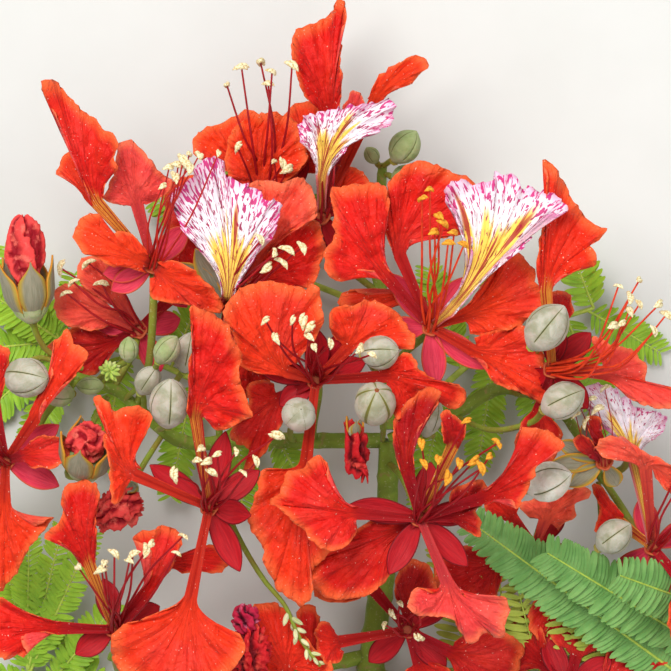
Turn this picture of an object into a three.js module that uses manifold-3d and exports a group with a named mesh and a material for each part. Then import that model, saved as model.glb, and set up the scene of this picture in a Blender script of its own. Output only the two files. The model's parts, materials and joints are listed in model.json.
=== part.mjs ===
// The cut flowering branch end of a flame tree, lying down with its blooms upwards.
// Millimetres, +Z up. Places are given from the middle of the flower cluster, and the whole is moved at the
// end so that its origin lies under the middle of it, at the surface it rests on.

import * as THREE from "three";
import { mergeVertices } from "three/addons/utils/BufferGeometryUtils.js";
import Module from "manifold-3d";

const wasm = await Module();
wasm.setup();

// Driving dimensions
const petalThickness = 0.8;
const clawWidth = 3.4;
const sepalThickness = 1.1;
const sepalWidth = 7.5;
const bladeWidest = 0.58;
const tipBack = 0.16;
const cupFull = 0.8;
const clawCurl = 0.2;
const filamentRadius = 0.65;
const antherRadius = 1.3;
const filamentsShown = 3;
const filamentArch = 4;
const goldenAngle = 2.4;
const stalkRadius = 1.45;
const stalkSides = 4;
const budStalkRadius = 1.15;
const budStalkSides = 3;
const cupRadius = 4.7;
const cupDepth = 6;
const sepalDrop = 3;
const petalSeat = 3.2;
const sepalSeat = 2.7;
const filamentSeat = 1.7;
const leafThickness = 1.3;
const ribWidth = 1.6;
const leafletPitch = 8.2;
const leafletLean = 3.4;
const clearance = 0.32;
const finest = 0.03;

const colours = {
  stem: 0x6b8a2e,
  petal: 0xe8301a,
  bud: 0xc9cdbd,
  leaf: 0x5fa070,
  withered: 0x7a1018,
};

const up = new THREE.Vector3(0, 0, 1);

function vec(list) {
  return new THREE.Vector3(...list);
}

// A closed mesh as a solid that can be joined and cut.
function solidOf(geometry) {
  const bare = geometry.clone();
  bare.deleteAttribute("normal");
  bare.deleteAttribute("uv");
  const merged = mergeVertices(bare, 1e-4);
  return new wasm.Manifold(
    new wasm.Mesh({
      numProp: 3,
      vertProperties: new Float32Array(merged.attributes.position.array),
      triVerts: new Uint32Array(merged.index.array),
      tolerance: finest,
    }),
  );
}

function geometryOf(solid) {
  const mesh = solid.getMesh();
  const geometry = new THREE.BufferGeometry();
  geometry.setAttribute("position", new THREE.BufferAttribute(mesh.vertProperties, 3));
  geometry.setIndex(new THREE.BufferAttribute(mesh.triVerts, 1));
  geometry.computeVertexNormals();
  return geometry;
}

function closedGeometry(vertices, triangles) {
  const geometry = new THREE.BufferGeometry();
  const places = vertices.flatMap((v) => v.toArray());
  geometry.setAttribute("position", new THREE.Float32BufferAttribute(places, 3));
  geometry.setIndex(triangles);
  return geometry;
}

// A plate of even thickness about a grid of middle points and normals.
function plate(grid, thickness) {
  const rows = grid.length - 1;
  const columns = grid[0].length - 1;
  const vertices = [];
  for (const side of [0.5, -0.5]) {
    for (const row of grid) {
      for (const { point, normal } of row) {
        vertices.push(point.clone().addScaledVector(normal, side * thickness));
      }
    }
  }
  const half = vertices.length / 2;
  const top = (i, j) => i * (columns + 1) + j;
  const bottom = (i, j) => half + top(i, j);
  const triangles = [];
  const quad = (a, b, c, d) => triangles.push(a, b, c, a, c, d);
  for (let i = 0; i < rows; i++) {
    for (let j = 0; j < columns; j++) {
      quad(top(i, j), top(i, j + 1), top(i + 1, j + 1), top(i + 1, j));
      triangles.push(bottom(i, j), bottom(i + 1, j + 1), bottom(i, j + 1));
      triangles.push(bottom(i, j), bottom(i + 1, j), bottom(i + 1, j + 1));
    }
    quad(bottom(i, columns), bottom(i + 1, columns), top(i + 1, columns), top(i, columns));
    quad(bottom(i, 0), top(i, 0), top(i + 1, 0), bottom(i + 1, 0));
  }
  for (let j = 0; j < columns; j++) {
    quad(bottom(rows, j), top(rows, j), top(rows, j + 1), bottom(rows, j + 1));
    quad(bottom(0, j), bottom(0, j + 1), top(0, j + 1), top(0, j));
  }
  return closedGeometry(vertices, triangles);
}

// A round limb through points, tapering from the first radius to the last.
function limb(points, radii, sides, steps, extra = 0) {
  const curve = new THREE.CatmullRomCurve3(points.map(vec));
  const vertices = [];
  const triangles = [];
  let side = new THREE.Vector3(1, 0.3, 0.2);
  for (let i = 0; i <= steps; i++) {
    const t = i / steps;
    const along = curve.getTangent(t);
    const centre = curve.getPoint(t);
    if (i === 0) centre.addScaledVector(along, -extra);
    if (i === steps) centre.addScaledVector(along, extra);
    side = side.clone().addScaledVector(along, -side.dot(along)).normalize();
    const across = along.clone().cross(side);
    const place = t * (radii.length - 1);
    const k = Math.min(Math.floor(place), radii.length - 2);
    const radius = THREE.MathUtils.lerp(radii[k], radii[k + 1], place - k) + extra;
    for (let j = 0; j < sides; j++) {
      const angle = (2 * Math.PI * j) / sides;
      const vertex = centre.clone().addScaledVector(side, radius * Math.cos(angle));
      vertices.push(vertex.addScaledVector(across, radius * Math.sin(angle)));
    }
  }
  for (let i = 0; i < steps; i++) {
    for (let j = 0; j < sides; j++) {
      const a = i * sides + j;
      const b = i * sides + ((j + 1) % sides);
      triangles.push(a, b, b + sides, a, b + sides, a + sides);
    }
  }
  for (let j = 1; j < sides - 1; j++) {
    triangles.push(0, j + 1, j);
    triangles.push(steps * sides, steps * sides + j, steps * sides + j + 1);
  }
  return closedGeometry(vertices, triangles);
}

// A turned body about its own axis, from a point along a direction.
function turned(profile, segments, from, direction) {
  const lathe = new THREE.LatheGeometry(profile.map(([r, h]) => new THREE.Vector2(r, h)), segments);
  const latheAxis = new THREE.Vector3(0, 1, 0);
  lathe.applyQuaternion(new THREE.Quaternion().setFromUnitVectors(latheAxis, direction.clone().normalize()));
  lathe.translate(from.x, from.y, from.z);
  return lathe;
}

// How wide a petal's blade is from its neck, 0, to its tip, 1, as a share of its full width.
function bladeShare(along) {
  const pastWidest = 0.5;
  return along < bladeWidest
    ? 1 - ((bladeWidest - along) / bladeWidest) ** 2.2
    : 1 - ((along - bladeWidest) / pastWidest) ** 2.6;
}

// The middle line of a petal: a straight claw from 0 to 1, then a blade that bends on from it from 1 to 2.
function midrib(base, neck, tip, bow, carry) {
  const reach = tip.distanceTo(neck);
  const onward = neck.clone().sub(base).normalize().multiplyScalar(carry * reach);
  const handle = neck.clone().add(onward).addScaledVector(up, bow);
  return (u) => {
    if (u <= 1) return base.clone().lerp(neck, u);
    const q = u - 1;
    const point = neck.clone().multiplyScalar((1 - q) ** 2);
    return point.addScaledVector(handle, 2 * q * (1 - q)).addScaledVector(tip, q * q);
  };
}

// A petal: a narrow claw and a blade that is cupped across and rounded at its tip.
function petal({ base, neck, tip, width, roll = 0, cup = 35, bow = 4, carry = 0.42 }, extra, rowsAt, across) {
  const line = midrib(base, neck, tip, bow, carry);
  const theta = THREE.MathUtils.degToRad(cup);
  const grid = rowsAt.map((u) => {
    const along = line(Math.min(u + 0.02, 2)).sub(line(u - 0.02)).normalize();
    const side = along.clone().cross(up).normalize().applyAxisAngle(along, THREE.MathUtils.degToRad(roll));
    const normal = side.clone().cross(along);
    const q = Math.max(u - 1, 0);
    const half = clawWidth / 2 + extra + (width / 2 - clawWidth / 2) * (u > 1 ? bladeShare(q) : 0);
    const bend = u > 1 ? theta * Math.sin((Math.PI * Math.min(q / cupFull, 1)) / 2) : clawCurl;
    const ends = (u === 0 ? -extra : 0) + (u === 2 ? extra : 0);
    const back = tipBack * width * THREE.MathUtils.smoothstep(q, bladeWidest, 1);
    return across.map((v) => {
      const turn = bend * v;
      const point = line(u)
        .addScaledVector(side, (half * Math.sin(turn)) / bend)
        .addScaledVector(normal, (half * (1 - Math.cos(turn))) / Math.abs(bend) * Math.sign(bend))
        .addScaledVector(along, ends - back * v * v);
      const facing = normal.clone().multiplyScalar(Math.cos(turn)).addScaledVector(side, -Math.sin(turn));
      return { point, normal: facing };
    });
  });
  return plate(grid, petalThickness + 2 * extra);
}

const largeRows = [0, 1, 1.34, 1.74, 2];
const smallRows = [0, 1, 1.5, 2];

// A pointed sepal, widest at its middle and sagging a little there.
function sepal(base, tip, extra = 0) {
  const middle = base.clone().lerp(tip, 0.5).addScaledVector(up, -1);
  const grid = [base, middle, tip].map((point, i) => {
    const along = (i < 2 ? tip.clone().sub(base) : tip.clone().sub(middle)).normalize();
    const side = along.clone().cross(up).normalize();
    const normal = side.clone().cross(along);
    const half = extra + (sepalWidth / 2) * [0.55, 1, 0.16][i];
    const shift = [-extra, 0, extra][i];
    return [-1, 1].map((v) => ({
      point: point.clone().addScaledVector(side, half * v).addScaledVector(along, shift),
      normal,
    }));
  });
  return plate(grid, sepalThickness + 2 * extra);
}

// Filaments spread evenly about an aim by the golden angle, each ending in its anther.
function filaments(centre, { aim, spread }, extra = 0) {
  const out = vec(aim);
  const list = [];
  for (let k = 0; k < filamentsShown; k++) {
    const angle = k * goldenAngle;
    const off = spread * Math.sqrt((k + 0.5) / filamentsShown);
    const round = new THREE.Vector3(Math.cos(angle), Math.sin(angle), 0);
    const tip = centre.clone().add(out).addScaledVector(round, off);
    const root = centre.clone().addScaledVector(round, filamentSeat);
    const bend = root.clone().lerp(tip, 0.5).addScaledVector(up, filamentArch);
    const points = [root, bend, tip].map((p) => p.toArray());
    list.push(limb(points, [filamentRadius, filamentRadius, antherRadius], 3, 2, extra));
  }
  return list;
}

// A crumpled ball of withered or unopened petals, roughened by a fixed rule.
function crumple(centre, size, seed, extra = 0) {
  const ball = mergeVertices(bareSphere());
  const place = ball.attributes.position;
  for (let i = 0; i < place.count; i++) {
    const v = new THREE.Vector3().fromBufferAttribute(place, i);
    const broad = 0.16 * Math.sin(5 * v.x + seed) * Math.cos(4 * v.y - seed);
    const fine = 0.08 * Math.sin(9 * v.z + 2 * seed);
    v.multiplyScalar(1 + broad + fine);
    place.setXYZ(i, v.x * (size[0] + extra), v.y * (size[1] + extra), v.z * (size[2] + extra));
  }
  ball.translate(centre.x, centre.y, centre.z);
  return ball;
}

function bareSphere() {
  const sphere = new THREE.IcosahedronGeometry(1, 1);
  sphere.deleteAttribute("normal");
  sphere.deleteAttribute("uv");
  return sphere;
}

// The woody axes: the cut stem and the branches of the flower cluster. Each starts on the one that carries it.
const axes = {
  main_stem: {
    points: [[12, -146, 12], [13, -118, 14], [18, -78, 20], [19, -38, 28]],
    radii: [5.2, 4.6, 4.0, 3.4],
    sides: 8,
    steps: 6,
  },
  axis_top: {
    points: [[19, -34, 28], [18, 2, 26], [15, 30, 26], [17, 62, 36]],
    radii: [3.0, 2.4, 1.6],
    sides: 6,
    steps: 6,
  },
  axis_left: {
    points: [[18, -38, 27], [-8, -38, 25], [-34, -38, 29], [-56, -38, 35], [-79, -20, 45], [-95, -14, 49]],
    radii: [2.9, 2.4, 1.5],
    sides: 6,
    steps: 8,
  },
  axis_right: {
    points: [[20, -38, 27], [43, -28, 33], [60, -19, 38], [80, -26, 38], [97, -53, 36]],
    radii: [2.8, 2.3, 1.5],
    sides: 6,
    steps: 7,
  },
  axis_low: {
    points: [[14, -116, 14], [-18, -122, 18], [-54, -125, 22], [-82, -116, 30]],
    radii: [2.7, 2.3, 1.5],
    sides: 6,
    steps: 5,
  },
};

// Each bloom has its centre, the way its stalk runs back to its axis, its petals, the tips of its sepals and
// the aim of its stamens. Necks and tips are steps from the centre; roll, cup and bow shape the blade.
const blooms = {
  bloom_lower_left: {
    at: [-45, -61, 84],
    stalk: [[-44, -58, 66], [-46, -46, 46], [-50, -39, 33]],
    petals: [
      { neck: [-5, 31, 8], tip: [5, 73, 14], width: 26, cup: 60, bow: 7 },
      { neck: [-8, -32, 4], tip: [-11, -60, 2], width: 44, cup: 30, bow: 6 },
      { neck: [-25, 10, 5], tip: [-35, 37, 8], width: 18, cup: 40, roll: -15 },
    ],
    sepals: [[-21, 15, -4], [11, -23, -6], [15, -3, 4], [6, 25, -5], [18, 13, -4]],
    stamens: { aim: [6, 19, 34], spread: 13 },
  },
  bloom_lower_right: {
    at: [30, -65, 86],
    stalk: [[29, -62, 66], [24, -51, 42], [19, -46, 27]],
    petals: [
      { neck: [-9, 28, 6], tip: [8, 46, 8], width: 18, cup: 55, roll: 10 },
      { neck: [-25, 1, 5], tip: [-52, 8, 9], width: 32, cup: 35 },
      { neck: [-9, -5, -4], tip: [-40, -26, -10], width: 24, cup: 30 },
      { neck: [9, -24, 6], tip: [17, -46, 4], width: 36, cup: 40 },
      { neck: [19, 5, 6], tip: [45, 31, 12], width: 20, cup: 60, roll: 20 },
      { neck: [9, 17, 12], tip: [12, 35, 20], width: 11, cup: 80 },
    ],
    sepals: [[-24, 8, -4], [-10, -20, -6], [17, -15, -3], [4, 20, -4], [20, 3, -6]],
    stamens: { aim: [11, 21, 32], spread: 13 },
  },
  bloom_centre: {
    at: [-7, -16, 78],
    stalk: [[-6, -20, 60], [-8, -33, 38], [-8, -38, 25]],
    petals: [
      { neck: [-24, 3, 6], tip: [-11, 34, 12], width: 34, cup: 40, carry: 0.06 },
      { neck: [-11, -12, -7], tip: [-27, -29, -13], width: 15, cup: 50 },
      { neck: [-5, -29, 1], tip: [-10, -80, -6], width: 30, cup: 40, bow: 6 },
      { neck: [7, 12, 8], tip: [32, 23, 11], width: 20, cup: 50, roll: -10 },
      { neck: [27, 2, 6], tip: [52, -7, 5], width: 17, cup: 50 },
    ],
    sepals: [[1, 16, 8], [11, 18, 6], [17, 7, 5], [-22, 6, -2], [-12, -8, -4]],
    stamens: { aim: [-6, 19, 36], spread: 11 },
  },
  bloom_centre_right: {
    at: [34, 3, 72],
    stalk: [[32, 0, 58], [23, -8, 38], [17.5, -14, 26]],
    petals: [
      { neck: [18, 22, 14], tip: [31, 53, 22], width: 38, cup: 35, bow: 6 },
      { neck: [-20, 21, 8], tip: [-31, 51, 10], width: 24, cup: 60, roll: -10 },
      { neck: [-7, 27, 3], tip: [0, 59, 4], width: 30, cup: 45 },
      { neck: [13, 7, 0], tip: [42, 16, 2], width: 26, cup: 38 },
      { neck: [14, -6, 0], tip: [44, -21, -2], width: 20, cup: 50 },
    ],
    sepals: [[-14, 19, -3], [0, -20, -4], [20, -13, -3], [13, 17, -6], [-20, -2, -6]],
    stamens: { aim: [5, 39, 32], spread: 9 },
  },
  bloom_right: {
    at: [77, -12, 82],
    stalk: [[75, -16, 64], [68, -21, 48], [63, -20, 38]],
    petals: [
      { neck: [-1, 28, 3], tip: [0, 74, -5], width: 26, cup: 50, roll: -12 },
      { neck: [18, -2, 4], tip: [43, -10, 6], width: 21, cup: 45 },
      { neck: [-9, -14, -10], tip: [-22, -34, -22], width: 20, cup: 40 },
    ],
    sepals: [[2, 16, -2], [14, 13, -5], [13, -14, -6], [-17, -3, -4]],
    stamens: { aim: [30, 23, 24], spread: 10 },
  },
  bloom_upper_left: {
    at: [-65, 25, 76],
    stalk: [[-65, 14, 70], [-67, -10, 56], [-72, -26, 42]],
    petals: [
      { neck: [-14, 18, 8], tip: [-39, 66, 14], width: 26, cup: 75, roll: 10 },
      { neck: [-4, 23, 3], tip: [-3, 45, -3], width: 24, cup: -40, bow: 6 },
      { neck: [-8, 2, 6], tip: [-29, 7, 4], width: 24, cup: 40 },
      { neck: [6, -4, 2], tip: [26, -17, 0], width: 18, cup: 50 },
      { neck: [-18, 17, -9], tip: [-33, 40, -12], width: 14, cup: 40 },
    ],
    sepals: [[-18, -1, -5], [-14, -15, -5], [15, -25, -4], [12, 14, -4]],
    stamens: { aim: [12, 26, 34], spread: 8 },
  },
  bloom_streaked: {
    at: [-39, 11, 70],
    stalk: [[-40, 2, 55], [-42, -20, 40], [-42, -38, 31]],
    petals: [
      { neck: [1.5, 18, 9], tip: [-3, 51, 14], width: 40, cup: 38, bow: 5 },
      { neck: [13, 15, 4], tip: [31, 41, 6], width: 24, cup: 50 },
      { neck: [6, -14, -9], tip: [10, -34, -17], width: 16, cup: 40 },
    ],
    sepals: [[-13, 20, -2], [-9, 13, 2], [14, 2, -6], [4, -18, -8]],
    stamens: { aim: [-16, 47, 40], spread: 9 },
  },
  bloom_bottom_left: {
    at: [-79, -105, 68],
    stalk: [[-79, -114, 60], [-78, -121, 46], [-76, -120, 28]],
    petals: [
      { neck: [-10, 30, 6], tip: [-9, 52, 10], width: 19, cup: 45 },
      { neck: [9, 12, 4], tip: [20, 35, 4], width: 19, cup: 45 },
      { neck: [-16, 0, 2], tip: [-46, 0, 2], width: 24, cup: 40 },
      { neck: [14, 2, -8], tip: [41, 22, -16], width: 15, cup: 45 },
      { neck: [4, -15, 0], tip: [6, -44, -6], width: 28, cup: 40 },
    ],
    sepals: [[-14, -9, -2], [14, -10, -5], [-4, 18, -5], [16, 8, -10]],
    stamens: { aim: [4, 26, 26], spread: 15 },
  },
  bloom_left_edge: {
    at: [-118, -45, 64],
    stalk: [[-112, -43, 54], [-104, -28, 51], [-92, -15, 48]],
    petals: [
      { neck: [-1, 28, 6], tip: [-16, 47, 8], width: 24, cup: 45 },
      { neck: [10, 18, 8], tip: [27, 42, 12], width: 20, cup: 60, roll: 35 },
      { neck: [1, -13, 2], tip: [5, -43, -2], width: 26, cup: 40 },
      { neck: [6, 2, 6], tip: [23, 5, 8], width: 14, cup: 60 },
      { neck: [-18, 0, 3], tip: [-46, -8, 2], width: 32, cup: 35 },
    ],
    sepals: [[19, 14, -3], [19, -9, -3], [-14, 14, -6], [-14, -14, -6]],
    stamens: { aim: [-12, 12, 32], spread: 9 },
  },
  bloom_top: {
    at: [-5, 43, 50],
    stalk: [[0, 37, 40], [10, 29, 31], [15, 25, 26]],
    petals: [
      { neck: [5, 22, 12], tip: [10, 40, 18], width: 34, cup: 30, bow: 5 },
      { neck: [-1, 37, -5], tip: [2, 78, -6], width: 21, cup: 50 },
      { neck: [17, 40, 2], tip: [38, 55, 6], width: 18, cup: 60, roll: 25 },
      { neck: [-9, -12, -8], tip: [-26, -26, -20], width: 22, cup: 40 },
    ],
    sepals: [[16, 14, -6], [-14, 12, -6], [10, -16, -8], [-18, -4, -10]],
    stamens: { aim: [-6, 30, 22], spread: 9 },
  },
  bloom_top_left: {
    at: [-24, 49, 40],
    stalk: [[-16, 40, 33], [2, 26, 28], [15, 16, 26]],
    petals: [
      { neck: [-10, 14, 3], tip: [-25, 29, 3], width: 22, cup: 40 },
      { neck: [0, 8, 2], tip: [1, 33, -2], width: 30, cup: 30, bow: 2 },
      { neck: [-16, -2, -4], tip: [-44, -4, -12], width: 26, cup: 35 },
      { neck: [10, 12, -6], tip: [28, 30, -16], width: 22, cup: 35 },
    ],
    sepals: [[-18, 8, -8], [-14, -14, -8], [14, 14, -8]],
    stamens: { aim: [-3, 48, 20], spread: 11 },
  },
  bloom_right_edge: {
    at: [114, -76, 50],
    stalk: [[109, -71, 44], [102, -60, 39], [96, -51, 36]],
    petals: [
      { neck: [-7, 31, 8], tip: [-11, 58, 12], width: 34, cup: 30, bow: 5 },
      { neck: [6, 21, 17], tip: [-21, 36, 21], width: 14, cup: 40, carry: 0.2 },
      { neck: [12, 9, 2], tip: [36, 28, 2], width: 26, cup: 40 },
      { neck: [10, -12, 0], tip: [24, -38, -6], width: 26, cup: 40 },
      { neck: [-10, 8, -1], tip: [-21, 16, -3], width: 12, cup: 50 },
    ],
    sepals: [[-4, 18, -3], [16, 8, -6], [-14, -12, -8], [4, -20, -8]],
    stamens: { aim: [-20, 20, 24], spread: 9 },
  },
  bloom_spent: {
    at: [96, -45, 68],
    stalk: [[103, -41, 66], [104, -47, 52], [97, -51, 37]],
    petals: [{ neck: [-4, 3, 2], tip: [-9, 9, 3], width: 10, cup: 60 }],
    sepals: [[-20, 3, 2], [-12, -9, 2], [-15, 13, 2], [10, -14, -4]],
    stamens: { aim: [-5, 24, 4], spread: 6 },
  },
  bloom_back_left: {
    at: [-71, 2, 46],
    stalk: [[-73, -6, 45], [-76, -12, 45], [-80, -19, 45]],
    petals: [
      { neck: [-8, 5, 0], tip: [-31, 11, -4], width: 20, cup: 40 },
      { neck: [-6, 9, 2], tip: [-19, 28, 2], width: 14, cup: 50 },
      { neck: [-8, -4, -4], tip: [-32, -12, -14], width: 18, cup: 40 },
      { neck: [10, 10, -8], tip: [26, 34, -20], width: 24, cup: 35 },
    ],
    sepals: [[-18, 4, -6], [15, 4, -8], [8, -15, -8]],
  },
  bloom_back_bottom: {
    at: [26, -106, 42],
    stalk: [[24, -108, 32], [20, -108, 22], [14, -106, 15]],
    petals: [
      { neck: [-1, 12, 2], tip: [6, 26, 3], width: 15, cup: 45 },
      { neck: [-12, 14, -1], tip: [-34, 26, -8], width: 22, cup: 40 },
      { neck: [15, -8, -4], tip: [40, -14, -10], width: 24, cup: 35 },
      { neck: [4, -12, -6], tip: [12, -38, -16], width: 28, cup: 35 },
    ],
    sepals: [[16, 12, -8], [-14, -12, -8], [14, -14, -8]],
  },
  bloom_below: {
    at: [-14, -131, 46],
    stalk: [[-14, -128, 34], [-15, -125, 26], [-16, -122, 18]],
    petals: [
      { neck: [-2, 11, 2], tip: [-8, 36, 2], width: 22, cup: 35 },
      { neck: [6, 12, 4], tip: [8, 34, 5], width: 13, cup: 45 },
      { neck: [-14, 2, 2], tip: [-40, 2, -4], width: 26, cup: 40 },
      { neck: [14, -4, -2], tip: [24, -22, -8], width: 26, cup: 40 },
      { neck: [-6, -10, 0], tip: [-14, -32, -6], width: 28, cup: 35 },
    ],
    sepals: [[-16, 10, -6], [16, 6, -6], [8, -18, -8]],
  },
  bloom_back_right: {
    at: [84, -127, 36],
    stalk: [[70, -130, 31], [44, -128, 22], [13, -122, 14]],
    petals: [
      { neck: [-9, 8, 2], tip: [-26, 22, 4], width: 22, cup: 40 },
      { neck: [3, 11, 3], tip: [6, 30, 5], width: 24, cup: 40 },
      { neck: [12, 2, 0], tip: [36, 10, 0], width: 26, cup: 40 },
      { neck: [4, -12, -2], tip: [12, -36, -8], width: 28, cup: 35 },
      { neck: [-12, -7, -2], tip: [-34, -18, -8], width: 24, cup: 35 },
    ],
    sepals: [[-8, 18, -6], [16, 10, -6], [10, -16, -8]],
  },
  bloom_back_low: {
    at: [72, -76, 41],
    stalk: [[75, -66, 38], [82, -48, 38], [88, -36, 37]],
    petals: [
      { neck: [4, 9, 4], tip: [14, 17, 8], width: 20, cup: 40 },
      { neck: [-8, 8, 4], tip: [-20, 14, 7], width: 16, cup: 45 },
      { neck: [-12, -6, -6], tip: [-34, -18, -14], width: 26, cup: 35 },
      { neck: [6, -12, -8], tip: [14, -36, -16], width: 26, cup: 35 },
    ],
    sepals: [[10, 14, -6], [-18, 2, -8], [16, -6, -8]],
  },
};

// Each bud has its middle, the way it points, its length and width, and the way its stalk runs to its axis.
const buds = {
  bud_top: { at: [25, 68, 50], aim: [4, 5, 3], size: [12, 11], stalk: [[20, 63, 42], [17, 61, 36]] },
  bud_top_small: { at: [13, 65, 42], aim: [-2, 3, 1], size: [7, 5.5], stalk: [[16, 61, 36]] },
  bud_top_low: { at: [25, 58, 42], aim: [3, -1, 2], size: [9, 7], stalk: [[19, 58, 37], [17, 58, 34]] },
  bud_right: {
    at: [75, 3, 96], aim: [2, 4, 4], size: [19, 15],
    stalk: [[72, -6, 72], [65, -15, 50], [62, -19, 38]],
  },
  bud_centre_small: {
    at: [16, -7, 74], aim: [5, 1, 3], size: [14, 12],
    stalk: [[15, -14, 56], [18, -20, 26]],
  },
  bud_centre: {
    at: [14, -24, 92], aim: [0, 3, 5], size: [21, 15],
    stalk: [[17, -30, 70], [17, -36, 48], [17, -38, 28]],
  },
  bud_centre_left: {
    at: [-13, -28, 88], aim: [1, 1, 5], size: [14, 12],
    stalk: [[-16, -33, 66], [-16, -37, 44], [-15, -38, 26]],
  },
  bud_left: {
    at: [-59, -24, 88], aim: [1, 5, 3], size: [20, 14],
    stalk: [[-62, -33, 74], [-64, -34, 54], [-62, -33, 38]],
  },
  bud_left_upper: {
    at: [-53, -6, 62], aim: [1, 5, 2], size: [14, 9],
    stalk: [[-57, -16, 52], [-65, -31, 38]],
  },
  bud_left_green: {
    at: [-60, -5, 74], aim: [2, 4, 2], size: [11, 8.5],
    stalk: [[-66, -14, 62], [-76, -23, 44]],
  },
  bud_hub_high: { at: [-74, -5, 64], aim: [0, 4, 3], size: [9, 7], stalk: [[-78, -11, 54], [-84, -17, 47]] },
  bud_hub_left: {
    at: [-88, -18, 62], aim: [-4, 0, 3], size: [9, 6.5],
    stalk: [[-88, -17, 54], [-88, -17, 47]],
  },
  bud_hub_far: {
    at: [-99, -21, 66], aim: [-4, -1, 3], size: [12, 9],
    stalk: [[-97, -19, 57], [-95, -14, 49]],
  },
  bud_left_edge: {
    at: [-110, -15, 74], aim: [5, -1, 2], size: [18, 14],
    stalk: [[-115, -13, 62], [-106, -8, 54], [-94, -13, 49]],
  },
  bud_hub_right: {
    at: [-67, -16, 66], aim: [2, 3, 3], size: [10, 7.5],
    stalk: [[-69, -22, 54], [-69, -28, 40]],
  },
  bud_right_low: {
    at: [81, -23, 84], aim: [4, 3, 3], size: [15, 13],
    stalk: [[70, -31, 68], [56, -34, 50], [43, -29, 33]],
  },
  bud_right_dark: {
    at: [76, -52, 78], aim: [-4, -1, 3], size: [17, 14],
    stalk: [[84, -50, 66], [93, -46, 50], [94, -46, 37]],
  },
  bud_centre_green: {
    at: [34, -28, 66], aim: [0, 4, 1], size: [14, 6],
    stalk: [[35, -36, 52], [33, -33, 30]],
  },
  bud_right_edge: {
    at: [100, -72, 56], aim: [-3, 3, 3], size: [14, 12],
    stalk: [[99, -66, 48], [95, -53, 36]],
  },
};

// Buds that have burst or withered: a calyx with crumpled petals above it.
const burstBuds = {
  burst_left_edge: {
    at: [-110, 16, 62], aim: [-1, 4, 2], size: [20, 18],
    petals: { step: [-2, 20, 8], size: [8, 10, 7], seed: 1 },
    stalk: [[-107, 0, 56], [-103, -6, 52], [-91, -12, 48]],
  },
  burst_left: {
    at: [-89, -43, 72], aim: [1, 4, 3], size: [19, 17],
    petals: { step: [1, 7, 7], size: [6, 6, 6], seed: 2 },
    stalk: [[-96, -50, 60], [-91, -38, 50], [-82, -22, 45]],
  },
  withered_centre: {
    at: [7, -33, 68], aim: [0, 2, 4], size: [7, 5],
    petals: { step: [0, -8, -2], size: [5, 10, 4], seed: 3 },
    stalk: [[7, -36, 50], [4, -38, 26]],
  },
  withered_low_left: {
    at: [-74, -56, 54], aim: [-2, -3, 3], size: [9, 7],
    petals: { step: [-4, -7, 3], size: [8, 9, 6], seed: 4 },
    stalk: [[-70, -48, 46], [-62, -35, 36]],
  },
  withered_bottom: {
    at: [-29, -112, 56], aim: [-1, 3, 3], size: [9, 8],
    petals: { step: [-2, 3, 7], size: [7, 11, 6], seed: 5 },
    stalk: [[-29, -118, 40], [-30, -123, 20]],
  },
};

// Each leaf has its rib from where it is carried, and sprays: side ribs that each run from a point of the rib
// to an end, with the length of their leaflets and how many pairs of leaflets stand along them.
const leaves = {
  leaf_right: {
    rib: [[13, -134, 12], [50, -146, 10], [92, -142, 14], [128, -122, 22], [142, -92, 22]],
    sprays: [
      { from: [100, -139, 17], to: [51, -71, 56], leaflet: 10, pairs: 7 },
      { from: [118, -130, 20], to: [80, -82, 58], leaflet: 10, pairs: 6 },
      { from: [134, -112, 23], to: [106, -84, 60], leaflet: 10, pairs: 5 },
      { from: [84, -143, 13], to: [62, -98, 24], leaflet: 11, pairs: 4 },
      { from: [140, -94, 22], to: [146, -52, 4], leaflet: 9, pairs: 4 },
    ],
  },
  leaf_low_left: {
    rib: [[10, -138, 10], [-30, -148, 5], [-76, -142, 5], [-112, -122, 12]],
    sprays: [
      { from: [-112, -122, 12], to: [-92, -72, 34], leaflet: 10, pairs: 5 },
      { from: [-112, -122, 12], to: [-122, -66, 24], leaflet: 10, pairs: 5 },
      { from: [-96, -132, 9], to: [-142, -124, 5], leaflet: 10, pairs: 4 },
    ],
  },
  leaf_left: {
    rib: [[-20, -36, 24], [-56, -14, 12], [-84, -4, 7], [-100, -2, 7]],
    sprays: [
      { from: [-100, -2, 7], to: [-138, 24, 20], leaflet: 10, pairs: 5 },
      { from: [-99, -2, 7], to: [-134, -34, 4], leaflet: 10, pairs: 5 },
      { from: [-90, -3, 7], to: [-97, 32, 12], leaflet: 9, pairs: 4 },
    ],
  },
  leaf_back_right: {
    rib: [[23, -34, 26], [52, -8, 14], [76, 4, 10], [94, 10, 10]],
    sprays: [
      { from: [94, 10, 10], to: [84, 52, 24], leaflet: 10, pairs: 5 },
      { from: [92, 9, 10], to: [128, -8, 6], leaflet: 10, pairs: 4 },
    ],
  },
  leaf_back_top: {
    rib: [[18, 8, 26], [-4, 17, 15], [-22, 24, 7], [-38, 32, 6]],
    sprays: [
      { from: [-38, 32, 6], to: [-66, 50, 12], leaflet: 9, pairs: 4 },
      { from: [-36, 30, 6], to: [-40, 66, 4], leaflet: 9, pairs: 4 },
    ],
  },
};

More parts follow.
